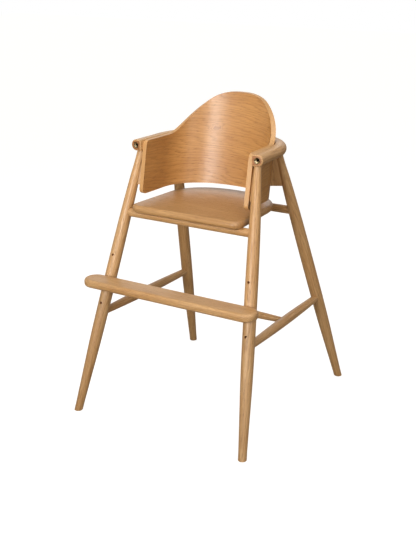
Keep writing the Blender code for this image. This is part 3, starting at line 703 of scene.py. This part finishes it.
def rail_x_at(y):
    """Half-width of the rail's centre line at this y."""
    if y >= RAIL_BOW_Y:
        share = (y - RAIL_BOW_Y) / RAIL_BOW
        return RAIL_HALF * (1 - share**RAIL_SQUARENESS) ** (1 / RAIL_SQUARENESS)
    t = (y - RAIL_END_Y) / (RAIL_BOW_Y - RAIL_END_Y)
    return RAIL_HALF + RAIL_END_FLARE * (1 - t) ** 1.5


# --- legs and turned bars ----------------------------------------------------


def leg_ends(front, side):
    inner = LEG_RADIUS * LEG_SHAPE[-1][1] - RAIL_WIDTH / 2
    top_y, gap = (FRONT_LEG_TOP_Y, FRONT_LEG_GAP) if front else (REAR_LEG_TOP_Y, REAR_LEG_GAP)
    half, reach = (FRONT_FOOT_HALF, -FOOT_REACH) if front else (REAR_FOOT_HALF, FOOT_REACH)
    x = rail_x_at(top_y) + inner + gap
    return Vector((side * half, reach, 0.0)), Vector((side * x, top_y, LEG_TOP_Z))


def leg_at(front, side, z):
    foot, top = leg_ends(front, side)
    return foot.lerp(top, z / LEG_TOP_Z)


def leg_radius(z):
    return LEG_RADIUS * interpolate(LEG_SHAPE, z / LEG_TOP_Z)


def turning_tree(name, shape):
    """Geometry nodes that turn a bar: a cylinder whose radius follows shape along it."""
    tree = bpy.data.node_groups.new(name, "GeometryNodeTree")
    sockets = {}
    for label, kind in (
        ("Length", "NodeSocketFloat"),
        ("Radius", "NodeSocketFloat"),
        ("Rows", "NodeSocketInt"),
        ("Facets", "NodeSocketInt"),
        ("Finish", "NodeSocketMaterial"),
    ):
        made = tree.interface.new_socket(label, in_out="INPUT", socket_type=kind)
        sockets[label] = made.identifier
    tree.interface.new_socket("Bar", in_out="OUTPUT", socket_type="NodeSocketGeometry")
    given = add(tree, "NodeGroupInput").outputs
    blank = add(
        tree,
        "GeometryNodeMeshCylinder",
        {
            "Vertices": given["Facets"],
            "Side Segments": given["Rows"],
            "Radius": 1.0,
            "Depth": given["Length"],
        },
        fill_type="NGON",
    )
    place = add(tree, "GeometryNodeInputPosition")
    split = add(tree, "ShaderNodeSeparateXYZ", {0: place}).outputs
    ratio = add(tree, "ShaderNodeMath", {0: split["Z"], 1: given["Length"]}, operation="DIVIDE")
    share = add(tree, "ShaderNodeMath", {0: ratio, 1: 0.5}, operation="ADD")
    curve = add(tree, "ShaderNodeFloatCurve", {"Value": share})
    line = curve.mapping.curves[0]
    while len(line.points) < len(shape):
        line.points.new(0.5, 0.5)
    for point, pair in zip(line.points, shape):
        point.location = pair
        point.handle_type = "AUTO_CLAMPED"
    curve.mapping.update()
    radius = add(tree, "ShaderNodeMath", {0: curve, 1: given["Radius"]}, operation="MULTIPLY")
    lift = add(tree, "ShaderNodeMath", {0: share, 1: given["Length"]}, operation="MULTIPLY")
    x = add(tree, "ShaderNodeMath", {0: split["X"], 1: radius}, operation="MULTIPLY")
    y = add(tree, "ShaderNodeMath", {0: split["Y"], 1: radius}, operation="MULTIPLY")
    moved = add(tree, "ShaderNodeCombineXYZ", {"X": x, "Y": y, "Z": lift})
    bar = add(tree, "GeometryNodeSetPosition", {"Geometry": blank, "Position": moved})
    real = add(tree, "GeometryNodeRealizeInstances", {0: bar})
    given_finish = {"Geometry": real, "Material": given["Finish"]}
    finished = add(tree, "GeometryNodeSetMaterial", given_finish)
    add(tree, "NodeGroupOutput", {0: finished})
    return tree, sockets


def turn_bar(name, turning, start, end, radius, finish, rows=60, facets=56):
    """Runs a turning tree from start to end and keeps its mesh."""
    tree, sockets = turning
    obj = bpy.data.objects.new(name, bpy.data.meshes.new(name))
    bpy.context.scene.collection.objects.link(obj)
    step = obj.modifiers.new("turning", "NODES")
    step.node_group = tree
    step[sockets["Length"]] = (end - start).length
    step[sockets["Radius"]] = radius
    step[sockets["Rows"]] = rows
    step[sockets["Facets"]] = facets
    step[sockets["Finish"]] = finish
    settle(obj)
    obj.data.transform(along(start, end))
    return obj


WASTE_SHARE = LEG_WASTE / (LEG_TOP_Z + 2 * LEG_WASTE)
LEG_TURNING = turning_tree(
    "leg_turning",
    [(0.0, LEG_SHAPE[0][1])]
    + [(WASTE_SHARE + (1 - 2 * WASTE_SHARE) * s, r) for s, r in LEG_SHAPE]
    + [(1.0, LEG_SHAPE[-1][1])],
)
SWELL_STEPS = 8


def swell_shape(middle, end):
    """Radius shares of a bar that swells in a half sine from its ends."""
    shares = [i / SWELL_STEPS for i in range(SWELL_STEPS + 1)]
    return [(s, (end + (middle - end) * math.sin(math.pi * s)) / middle) for s in shares]


STRETCHER_TURNING = turning_tree(
    "stretcher_turning", swell_shape(STRETCHER_RADIUS, STRETCHER_END)
)
CROSS_TURNING = turning_tree("cross_bar_turning", swell_shape(CROSS_RADIUS, CROSS_END))
ROD_TURNING = turning_tree("rod_turning", [(0.0, 1.0), (1.0, 1.0)])


def leg_blank(name, front, side, grown=0.0, finish=OAK):
    """A leg as it leaves the lathe, with waste at both ends."""
    foot, top = leg_ends(front, side)
    run = (top - foot).normalized() * LEG_WASTE
    return turn_bar(
        name, LEG_TURNING, foot - run, top + run, LEG_RADIUS + grown, finish, rows=90, facets=64
    )


def make_leg(front, side, plank):
    """Sawn level at foot and shoulder, with the arris of the foot taken off."""
    foot, top = leg_ends(front, side)
    where = f"{'front' if front else 'rear'}_{SIDES[side]}"
    leg = leg_blank(f"turned_leg_{where}", front, side)
    height = LEG_TOP_Z + BURIED
    profile = (
        (0.0, 0.0),
        (FOOT_FLAT - 0.0004, 0.0),
        (FOOT_FLAT + 0.0002, 0.0003),
        (FOOT_FLAT + height, height),
        (0.0, height),
    )
    combine(leg, turned("level", profile, Matrix.Translation(foot), steps=96), "INTERSECT")
    if front:
        for step in (-1, 0, 1):
            drill_leg(leg, side, FOOTREST_HEIGHT + step * FOOTREST_PITCH)
    straight_grain(leg, foot, top, plank, LEG_ROLL * plank)
    fit(leg, "frame", f"leg_{where}")


def drill_leg(leg, side, z):
    """A bolt hole, counterbored at the back for the bolt's head."""
    axis = leg_at(True, side, z)
    reach = 2.5 * LEG_RADIUS
    profile = (
        (0.0, reach),
        (COUNTERBORE_RADIUS, reach),
        (COUNTERBORE_RADIUS, COUNTERBORE_FROM_AXIS),
        (BOLT_HOLE, COUNTERBORE_FROM_AXIS),
        (BOLT_HOLE, -reach),
        (0.0, -reach),
    )
    hole = turned("hole", profile, along(axis, axis + BACKWARDS), END_GRAIN)
    combine(leg, hole)


def make_bar(name, node, turning, ends, radius, plank, cutters=()):
    bar = turn_bar(name, turning, *ends, radius, OAK)
    for start, end, width in cutters:
        combine(bar, pin("hole", start, end, width))
    straight_grain(bar, *ends, plank, BAR_ROLL * plank)
    fit(bar, "frame", node)


def make_bars():
    """Seat rails, side stretchers and the cross bar. Their ends stop inside the legs."""
    for front, plank in ((True, FIRST_BAR_PLANK), (False, FIRST_BAR_PLANK + 1)):
        ends = [leg_at(front, side, SEAT_RAIL_Z) for side in (-1, 1)]
        where = "front" if front else "rear"
        under = SEAT_RAIL_Z - SEAT_RAIL_RADIUS
        screws = [Vector((s * SCREW_HALF_SPACING[where], ends[0].y, under)) for s in (-1, 1)]
        up = Vector((0, 0, SCREW_SINK + SCREW_HEAD - SCREW_RADIUS))
        make_bar(
            f"round_seat_rail_{where}",
            f"seat_rail_{where}",
            ROD_TURNING,
            ends,
            SEAT_RAIL_RADIUS,
            plank,
            [(place - up, place + up, SCREW_HEAD + CLEARANCE) for place in screws],
        )
    middles = []
    for side, plank in ((-1, FIRST_BAR_PLANK + 2), (1, FIRST_BAR_PLANK + 3)):
        ends = [leg_at(front, side, STRETCHER_HEIGHT) for front in (True, False)]
        middles.append(ends[0].lerp(ends[1], 0.5))
        make_bar(
            f"side_stretcher_{SIDES[side]}",
            f"stretcher_{SIDES[side]}",
            STRETCHER_TURNING,
            ends,
            STRETCHER_RADIUS,
            plank,
        )
    plank = FIRST_BAR_PLANK + 4
    make_bar("cross_bar", "stretcher_cross", CROSS_TURNING, middles, CROSS_RADIUS, plank)


# --- arm rail ----------------------------------------------------------------


def rail_section(inset=0.0):
    """(outward, up) corners of the section, round outside and square inside."""
    section = []
    for x, up, radius, start, steps in (
        (1, 1, RAIL_OUTER_ROUND, 0, 14),
        (-1, 1, RAIL_INNER_ROUND, 90, 5),
        (-1, -1, RAIL_INNER_ROUND, 180, 5),
        (1, -1, RAIL_OUTER_ROUND, 270, 14),
    ):
        cx = x * (RAIL_WIDTH / 2 - radius)
        cz = up * (RAIL_DEPTH / 2 - radius)
        radius -= inset
        for i in range(steps + 1):
            angle = math.radians(start + 90 * i / steps)
            section.append((cx + radius * math.cos(angle), cz + radius * math.sin(angle)))
    return section


def make_rail():
    """Bent round the shell, whose lean its inner face follows at the back."""
    points = rail_points()
    run = (points[1] - points[0]).normalized()
    steps = 5
    stations = []
    for i in range(steps):
        angle = math.pi / 2 * i / steps
        inset = RAIL_END_ROUND * (1 - math.sin(angle))
        stations.append((points[0] + run * RAIL_END_ROUND * (1 - math.cos(angle)), inset))
    first = [(place, outward(points, 0), inset) for place, inset in stations]
    middle = [(points[i], outward(points, i), 0.0) for i in range(1, len(points) - 1)]
    last = [
        (Vector((-place.x, place.y)), Vector((-away.x, away.y)), inset)
        for place, away, inset in reversed(first)
    ]
    rings = []
    for place, away, inset in first + middle + last:
        lean = SHELL_LEAN * max(away.y, 0.0)
        ring = []
        for x, up in rail_section(inset):
            inner = min(max((RAIL_WIDTH / 2 - x) / RAIL_WIDTH, 0.0), 1.0) ** 3
            point = place + away * (x + lean * up * inner)
            ring.append((point.x, point.y, RAIL_HEIGHT + up))
        rings.append(ring)
    rail = loft("bent_arm_rail", rings, OAK, END_GRAIN)
    for face in rail.data.polygons:
        face.material_index = int(len(face.vertices) > 4)
    for side in SIDES:
        end, into = rail_end(side)
        combine(rail, pin("recess", end - into * 0.01, end + into * SOCKET_LENGTH, SOCKET_RADIUS))
    co = points_of(rail)
    length, outside = PlanCurve(0.0).unbend(co[:, :2])
    places = np.stack([length, co[:, 2] - RAIL_HEIGHT, outside], axis=1)
    store_grain(rail, places + np.array(RAIL_PLANK))
    fit(rail, "frame", "arm_rail")


def rail_end(side):
    """The middle of a rail end and the way into it."""
    points = rail_points()
    into = (points[1] - points[0]).normalized()
    place = Vector((side * points[0].x, points[0].y, RAIL_HEIGHT))
    return place, Vector((side * into.x, into.y, 0.0))


# --- shell -------------------------------------------------------------------


def shell_end():
    """Length along the outer face from the middle of the back to a front edge."""
    curve = PlanCurve(SHELL_OFFSET)
    pairs = list(zip(curve.points, curve.lengths))
    for (p0, s0), (p1, s1) in zip(pairs, pairs[1:]):
        if p0.y <= SHELL_FRONT_Y <= p1.y:
            return -(s0 + (s1 - s0) * (SHELL_FRONT_Y - p0.y) / (p1.y - p0.y))
    return -curve.lengths[1]


def corner_cut(gap, radius):
    """How far a rounded corner stands back at this distance from the edge."""
    if gap >= radius:
        return 0.0
    return radius - math.sqrt(max(radius**2 - (radius - gap) ** 2, 0.0))


def shell_heights(s, end):
    crest = SHELL_CREST * interpolate(SHELL_CREST_SHAPE, abs(s) / SHELL_CREST_HALF)
    gap = end - abs(s)
    bottom = SHELL_BOTTOM + corner_cut(gap, SHELL_BOTTOM_CORNER)
    return bottom, SHELL_ARM_TOP + crest - corner_cut(gap, SHELL_TOP_CORNER)


def leaned(point, z):
    return (point.x, point.y + SHELL_LEAN * (z - RAIL_HEIGHT), z)


def make_shell():
    """Seven veneers moulded to one thickness, its sawn edge rounded over."""
    end = shell_end()
    outer = PlanCurve(SHELL_OFFSET)
    corner_steps, middle_steps, rows = 10, 150, 18
    width = max(SHELL_BOTTOM_CORNER, SHELL_TOP_CORNER)
    turn = math.pi / 2 / corner_steps
    corner = [end - width * (1 - math.cos(turn * i)) for i in range(corner_steps)]
    reach = end - width
    middle = [reach - 2 * reach * i / middle_steps for i in range(middle_steps + 1)]
    rings = []
    near = SHELL_THICKNESS / 6
    for s in corner + middle + [-s for s in reversed(corner)]:
        run = (outer.at(-s + near) - outer.at(-s - near)).normalized()
        outside = outer.at(-s)
        inside = outside + Vector((-run.y, run.x)) * SHELL_THICKNESS
        bottom, top = shell_heights(s, end)
        heights = [bottom + (top - bottom) * i / rows for i in range(rows + 1)]
        up = [leaned(outside, z) for z in heights]
        down = [leaned(inside, z) for z in reversed(heights)]
        rings.append(up + down)
    shell = loft("moulded_shell", rings, VENEER, PLY_EDGE)
    soften(shell, SHELL_EDGE, 4, 55)
    co = points_of(shell)
    plan = co[:, :2].copy()
    plan[:, 1] -= SHELL_LEAN * (co[:, 2] - RAIL_HEIGHT)
    length, outside = outer.unbend(plan)
    places = np.stack([-length, co[:, 2] - SHELL_BOTTOM, -outside], axis=1)
    store_grain(shell, places)
    margin = 0.0006
    for face in shell.data.polygons:
        depth = places[list(face.vertices), 2].mean()
        face.material_index = int(margin < depth < SHELL_THICKNESS - margin)
    fit(shell, "frame", "back_shell")


# --- gussets -----------------------------------------------------------------


def make_gusset(front, side, plank):
    """A plate in the wedge between leg and shell. Its long edges run on inside both."""
    where = f"{'front' if front else 'rear'}_{SIDES[side]}"
    top = LEG_TOP_Z - FRONT_GUSSET_TOP if front else LEG_TOP_Z + BURIED
    bottom = RAIL_UNDERSIDE - GUSSET_DROP
    to_middle = math.sin(GUSSET_ANGLE) * (1 if front else -1)
    inward = Vector((-side * math.cos(GUSSET_ANGLE), to_middle, 0.0))
    across = Vector((-inward.y, inward.x, 0.0)) * (GUSSET_THICKNESS / 2)
    low = leg_at(front, side, bottom)
    high = leg_at(front, side, top)
    rings = []
    for way in (-1, 1):
        ring = []
        for point, z in ((low, bottom), (high, top)):
            reach = shell_distance(point, inward, z) + BURIED
            ring.append(point + inward * reach)
            ring.insert(0, point)
        rings.append([p + across * way for p in (ring[1], ring[2], ring[3], ring[0])])
    gusset = loft(f"gusset_plate_{where}", rings, OAK)
    soften(gusset, GUSSET_EDGE, 3, 40)
    straight_grain(gusset, low, high, plank, GUSSET_ROLL)
    fit(gusset, "frame", f"gusset_{where}")


def shell_distance(point, direction, z):
    """How far the shell's outer face is from a point, along a level direction."""
    line = [Vector(leaned(p, z)[:2]) for p in offset_points(SHELL_OFFSET)]
    start, way = Vector(point[:2]), Vector(direction[:2])
    found = []
    for first, second in zip(line, line[1:]):
        run = second - first
        cross = way.x * run.y - way.y * run.x
        if abs(cross) < 1e-12:
            continue
        gap = first - start
        distance = (gap.x * run.y - gap.y * run.x) / cross
        share = (gap.x * way.y - gap.y * way.x) / cross
        if 0 <= share <= 1 and distance > 0:
            found.append(distance)
    return min(found)


# --- seat --------------------------------------------------------------------


def arc(cx, cy, radius, start, end, steps):
    angles = [math.radians(start + (end - start) * i / steps) for i in range(steps + 1)]
    return [(cx + radius * math.cos(a), cy + radius * math.sin(a)) for a in angles]


def make_seat():
    beside = SEAT_HEIGHT - SEAT_THICKNESS / 2
    half = leg_at(True, 1, beside).x - leg_radius(beside) - SEAT_SIDE_GAP
    middle = half - SEAT_TAPER
    front_y = leg_at(True, 1, SEAT_RAIL_Z).y - SEAT_FRONT_OVERHANG
    back_y = leg_at(False, 1, SEAT_RAIL_Z).y + SEAT_BACK_OVERHANG
    corner = arc(half - SEAT_CORNER, front_y + SEAT_CORNER, SEAT_CORNER, -90, 0, 20)
    power = 2 / SEAT_SQUARENESS
    steps = 120
    back = []
    for i in range(steps + 1):
        angle = math.pi * i / steps
        across = math.cos(angle)
        x = middle * math.copysign(abs(across) ** power, across)
        rise = (back_y - SEAT_SIDE_END_Y) * max(math.sin(angle), 0.0) ** power
        back.append((x, SEAT_SIDE_END_Y + rise))
    outline = corner + back + [(-x, y) for x, y in reversed(corner)]
    rings = [[(x, y, z) for x, y in outline] for z in (SEAT_BOTTOM, SEAT_HEIGHT)]
    seat = loft("seat_board", rings, SEAT_OAK)
    soften(seat, SEAT_EDGE, 8, 50)
    left = Vector((-half, 0.0, SEAT_BOTTOM))
    right = Vector((half, 0.0, SEAT_BOTTOM))
    straight_grain(seat, left, right, SEAT_PLANK, SEAT_ROLL)
    fit(seat, "frame", "seat_panel")


# --- footrest ----------------------------------------------------------------


def footrest_back():
    """The y of the board's back edge, let a little over the fronts of the legs."""
    foot, top = leg_ends(True, 1)
    run = (top - foot).normalized()
    axis = leg_at(True, 1, FOOTREST_HEIGHT)
    return axis.y - leg_radius(FOOTREST_HEIGHT) / math.sqrt(1 - run.y**2) + FOOTREST_SADDLE


def make_footrest():
    """A board with round ends, hollowed where it meets the legs."""
    axis = leg_at(True, 1, FOOTREST_HEIGHT)
    back = footrest_back()
    radius = FOOTREST_DEPTH / 2
    right = arc(FOOTREST_HALF - radius, back - radius, radius, -90, 90, 44)
    outline = right + [(-x, y) for x, y in reversed(right)]
    low = FOOTREST_HEIGHT - FOOTREST_THICKNESS / 2
    rings = [[(x, y, z) for x, y in outline] for z in (low, low + FOOTREST_THICKNESS)]
    board = loft("footrest_plank", rings, OAK)
    soften(board, FOOTREST_EDGE, 7, 50)
    for side in SIDES:
        combine(board, leg_blank("saddle", True, side, CLEARANCE))
        mouth = Vector((side * axis.x, back, FOOTREST_HEIGHT))
        deep = mouth - Vector((0, FOOTREST_SADDLE + INSERT_SETBACK + INSERT_LENGTH, 0))
        radius = INSERT_RADIUS + CLEARANCE
        combine(board, pin("bore", mouth + Vector((0, LEG_RADIUS, 0)), deep, radius))
    left = Vector((-FOOTREST_HALF, back - radius, low))
    right_end = Vector((FOOTREST_HALF, back - radius, low))
    straight_grain(board, left, right_end, FOOTREST_PLANK, FOOTREST_ROLL)
    fit(board, "footrest", "footrest_board")


# --- metal -------------------------------------------------------------------


def threaded(radius, start, end):
    """(radius, height) pairs of a thread, drawn as plain ridges between two heights."""
    ridges = int(abs(end - start) / THREAD_PITCH)
    step = (end - start) / ridges
    pairs = []
    for i in range(ridges):
        pairs.append((radius, start + step * (i + 0.2)))
        pairs.append((radius - THREAD_PITCH / 3, start + step * (i + 0.7)))
    return pairs


def make_socket(side, where):
    """A countersunk brass socket let into a rail end, its threaded bore painted near black as
    shade.
    """
    place, into = rail_end(side)
    cone = SOCKET_MOUTH - SOCKET_BORE
    profile = [
        (0.0, SOCKET_BORE_DEPTH),
        (SOCKET_BORE, SOCKET_BORE_DEPTH),
        *threaded(SOCKET_BORE, SOCKET_BORE_DEPTH, cone + THREAD_PITCH),
        (SOCKET_BORE, cone),
        (SOCKET_MOUTH - ARRIS, ARRIS),
        (SOCKET_MOUTH, ARRIS),
        (SOCKET_RADIUS - 2 * ARRIS, ARRIS),
        (SOCKET_RADIUS, 3 * ARRIS),
        (SOCKET_RADIUS, SOCKET_FLANGE),
        (SOCKET_BARREL, SOCKET_FLANGE),
        (SOCKET_BARREL, SOCKET_LENGTH),
        (0.0, SOCKET_LENGTH),
    ]
    socket = turned(f"brass_socket_{where}", profile, along(place, place + into), BRASS, PAINTED_BORE_SHADE_BRASS)
    # The bore's faces take the near-black brass: painted shade inside the hole.
    for face in socket.data.polygons:
        middle = face.center - place
        deep = middle.dot(into)
        face.material_index = int(deep > cone and (middle - into * deep).length < SOCKET_BORE)
    fit(socket, "frame", f"rail_socket_{where}", METAL_ANGLE)


def bolt_line(side):
    """Where a footrest bolt's washer sits, and the mouth of its insert."""
    axis = leg_at(True, side, FOOTREST_HEIGHT)
    seat = axis + BACKWARDS * (COUNTERBORE_FROM_AXIS + CLEARANCE)
    return seat, Vector((axis.x, footrest_back() - FOOTREST_SADDLE - INSERT_SETBACK, axis.z))


def make_washer(side, where):
    seat, _ = bolt_line(side)
    ring = (
        (BOLT_HOLE, 0.0),
        (BOLT_HOLE, WASHER),
        (WASHER_RADIUS - ARRIS, WASHER),
        (WASHER_RADIUS, WASHER - ARRIS),
        (WASHER_RADIUS, 0.0),
        (BOLT_HOLE, 0.0),
    )
    washer = turned(f"brass_washer_{where}", ring, along(seat, seat + BACKWARDS), BRASS)
    join_ends(washer)
    fit(washer, "frame", f"footrest_washer_{where}", METAL_ANGLE)


def join_ends(obj):
    """Joins the first and last ring of a hollow turning."""
    bm = bmesh.new()
    bm.from_mesh(obj.data)
    bmesh.ops.remove_doubles(bm, verts=bm.verts, dist=CLEARANCE / 10)
    bmesh.ops.recalc_face_normals(bm, faces=bm.faces)
    bm.to_mesh(obj.data)
    bm.free()


def make_bolt(side, where):
    """A flat-headed bolt with a hex socket."""
    seat, mouth = bolt_line(side)
    tip = mouth - BACKWARDS * BOLT_GRIP
    shank = seat.y + WASHER + CLEARANCE - tip.y
    top = shank + BOLT_HEAD
    profile = [
        (0.0, top),
        (HEX_SOCKET + 3 * ARRIS, top),
        (BOLT_HEAD_RADIUS - 2 * ARRIS, top),
        (BOLT_HEAD_RADIUS, top - 2 * ARRIS),
        (BOLT_HEAD_RADIUS, shank + ARRIS),
        (BOLT_HEAD_RADIUS - ARRIS, shank),
        (BOLT_RADIUS, shank),
        *threaded(BOLT_RADIUS, shank - THREAD_PITCH, 2 * ARRIS),
        (BOLT_RADIUS - 2 * ARRIS, 0.0),
        (0.0, 0.0),
    ]
    bolt = turned(f"brass_bolt_{where}", profile, along(tip, tip + BACKWARDS), BRASS)
    head = tip + BACKWARDS * top
    deep = BACKWARDS * HEX_DEPTH
    combine(bolt, pin("hex", head - deep, head + deep, HEX_SOCKET, 6))
    fit(bolt, f"bolt_{where}", f"footrest_bolt_{where}", METAL_ANGLE)


def make_insert(side, where):
    """The blind insert in the footrest that a bolt grips."""
    _, mouth = bolt_line(side)
    bottom = mouth - BACKWARDS * INSERT_LENGTH
    bore = BOLT_RADIUS + CLEARANCE
    profile = (
        (0.0, INSERT_FLOOR),
        (bore, INSERT_FLOOR),
        (bore, INSERT_LENGTH - 2 * ARRIS),
        (bore + 2 * ARRIS, INSERT_LENGTH),
        (INSERT_RADIUS, INSERT_LENGTH),
        (INSERT_RADIUS, 0.0),
        (0.0, 0.0),
    )
    insert = turned(f"brass_insert_{where}", profile, along(bottom, mouth), BRASS)
    fit(insert, "footrest", f"footrest_insert_{where}", METAL_ANGLE)


def make_screws():
    """Countersunk screws with a cross recess, up through the seat rails into the seat."""
    under = SEAT_RAIL_Z - SEAT_RAIL_RADIUS + SCREW_SINK
    length = SEAT_BOTTOM + SCREW_BITE - under
    cone = SCREW_HEAD - SCREW_RADIUS
    profile = (
        (0.0, length),
        (SCREW_RADIUS * 0.3, length),
        (SCREW_RADIUS, length - SCREW_POINT),
        (SCREW_RADIUS, cone),
        (SCREW_HEAD, ARRIS),
        (SCREW_HEAD - ARRIS, 0.0),
        (0.0, 0.0),
    )
    for end, half in SCREW_HALF_SPACING.items():
        y = leg_at(end == "front", 1, SEAT_RAIL_Z).y
        for side, where in SIDES.items():
            start = Vector((side * half, y, under))
            name = f"steel_screw_{end}_{where}"
            screw = turned(name, profile, Matrix.Translation(start), STEEL, steps=32)
            for way in (Vector((1, 0, 0)), Vector((0, 1, 0))):
                arm = way * SCREW_HEAD * CROSS_RECESS
                width = SCREW_HEAD * CROSS_ARM
                combine(screw, pin("slot", start - arm, start + arm, width, 4))
            fit(screw, "frame", f"seat_screw_{end}_{where}", METAL_ANGLE)


def make_chair():
    for i, (front, side) in enumerate(CORNERS):
        make_leg(front, side, i + 1)
        make_gusset(front, side, i + FIRST_GUSSET_PLANK)
    make_bars()
    make_rail()
    make_shell()
    make_seat()
    make_footrest()
    make_screws()
    for side, where in SIDES.items():
        make_socket(side, where)
        make_washer(side, where)
        make_bolt(side, where)
        make_insert(side, where)


# --- stage, light and camera -------------------------------------------------


def white_paper():
    """Paper lit to a clean white for the eye, but a dim warm grey to the wood above it."""
    mat, tree, shader = new_material("white_paper", Base_Color=colour("8C867C"), Roughness=0.9)
    seen = add(tree, "ShaderNodeLightPath").outputs["Is Camera Ray"]
    glow = add(tree, "ShaderNodeEmission", {"Color": colour("FFFFFF"), "Strength": PAPER_GLOW})
    both = add(tree, "ShaderNodeAddShader", {0: shader, 1: glow})
    pick = add(tree, "ShaderNodeMixShader", {0: seen, 1: shader, 2: both})
    tree.links.new(pick.outputs[0], tree.nodes["Material Output"].inputs["Surface"])
    return mat


def room():
    """White behind the object. What it reflects is brighter than what lights it."""
    world = bpy.data.worlds.new("studio")
    bpy.context.scene.world = world
    world.use_nodes = True
    tree = world.node_tree
    rays = add(tree, "ShaderNodeLightPath").outputs
    place = add(tree, "ShaderNodeTexCoord").outputs["Generated"]
    side = add(tree, "ShaderNodeVectorMath", {0: place, 1: ROOM_SHADE}, operation="DOT_PRODUCT")
    level = {"Value": side, "From Min": -1.0, "From Max": 1.0}
    level = add(tree, "ShaderNodeMapRange", level | {"To Min": ROOM_LIGHT, "To Max": ROOM_DARK})
    gleam = {0: rays["Is Glossy Ray"], 1: ROOM_GLEAM, 2: 1.0}
    gleam = add(tree, "ShaderNodeMath", gleam, operation="MULTIPLY_ADD")
    level = add(tree, "ShaderNodeMath", {0: level, 1: gleam}, operation="MULTIPLY")
    seen = {0: level, 1: rays["Is Camera Ray"]}
    seen = add(tree, "ShaderNodeMath", seen, operation="MAXIMUM")
    tint = {0: rays["Is Diffuse Ray"], MIX_A: colour("FFFFFF"), MIX_B: colour("FFF5E5")}
    tint = add(tree, "ShaderNodeMix", tint, data_type="RGBA")
    sky = tree.nodes["Background"].inputs
    tree.links.new(tint.outputs[2], sky["Color"])
    tree.links.new(seen.outputs[0], sky["Strength"])


def studio():
    floor_mesh = bpy.data.meshes.new("studio_floor")
    h = FLOOR_HALF
    floor_mesh.from_pydata([(-h, -h, 0), (h, -h, 0), (h, h, 0), (-h, h, 0)], [], [(0, 1, 2, 3)])
    floor = bpy.data.objects.new("studio_floor", floor_mesh)
    bpy.context.scene.collection.objects.link(floor)
    floor_mesh.materials.append(white_paper())
    room()
    for name, place, target, width, height, power, spread in LAMPS:
        lamp = bpy.data.lights.new(name, "AREA")
        lamp.shape = "RECTANGLE"
        lamp.size = width
        lamp.size_y = height
        lamp.energy = power
        lamp.spread = math.radians(spread)
        obj = bpy.data.objects.new(name, lamp)
        bpy.context.scene.collection.objects.link(obj)
        obj.location = place
        obj.rotation_mode = "QUATERNION"
        obj.rotation_quaternion = (Vector(target) - Vector(place)).to_track_quat("-Z", "Y")


def camera():
    """A view from the front right, a little above the seat."""
    back = Vector(
        (
            math.sin(CAMERA_AZIMUTH) * math.cos(CAMERA_ELEVATION),
            -math.cos(CAMERA_AZIMUTH) * math.cos(CAMERA_ELEVATION),
            math.sin(CAMERA_ELEVATION),
        )
    )
    level = Vector((math.cos(CAMERA_AZIMUTH), math.sin(CAMERA_AZIMUTH), 0.0))
    upright = back.cross(level)
    right = level * math.cos(CAMERA_ROLL) + upright * math.sin(CAMERA_ROLL)
    up = upright * math.cos(CAMERA_ROLL) - level * math.sin(CAMERA_ROLL)
    lens = bpy.data.cameras.new("camera")
    lens.sensor_width = CAMERA_SENSOR
    lens.lens = CAMERA_LENS
    obj = bpy.data.objects.new("camera", lens)
    bpy.context.scene.collection.objects.link(obj)
    turn = Matrix((right, up, back)).transposed().to_4x4()
    obj.matrix_world = Matrix.Translation(CAMERA_PLACE) @ turn
    bpy.context.scene.camera = obj


make_chair()
studio()
camera()
bpy.context.scene.view_settings.view_transform = "Standard"
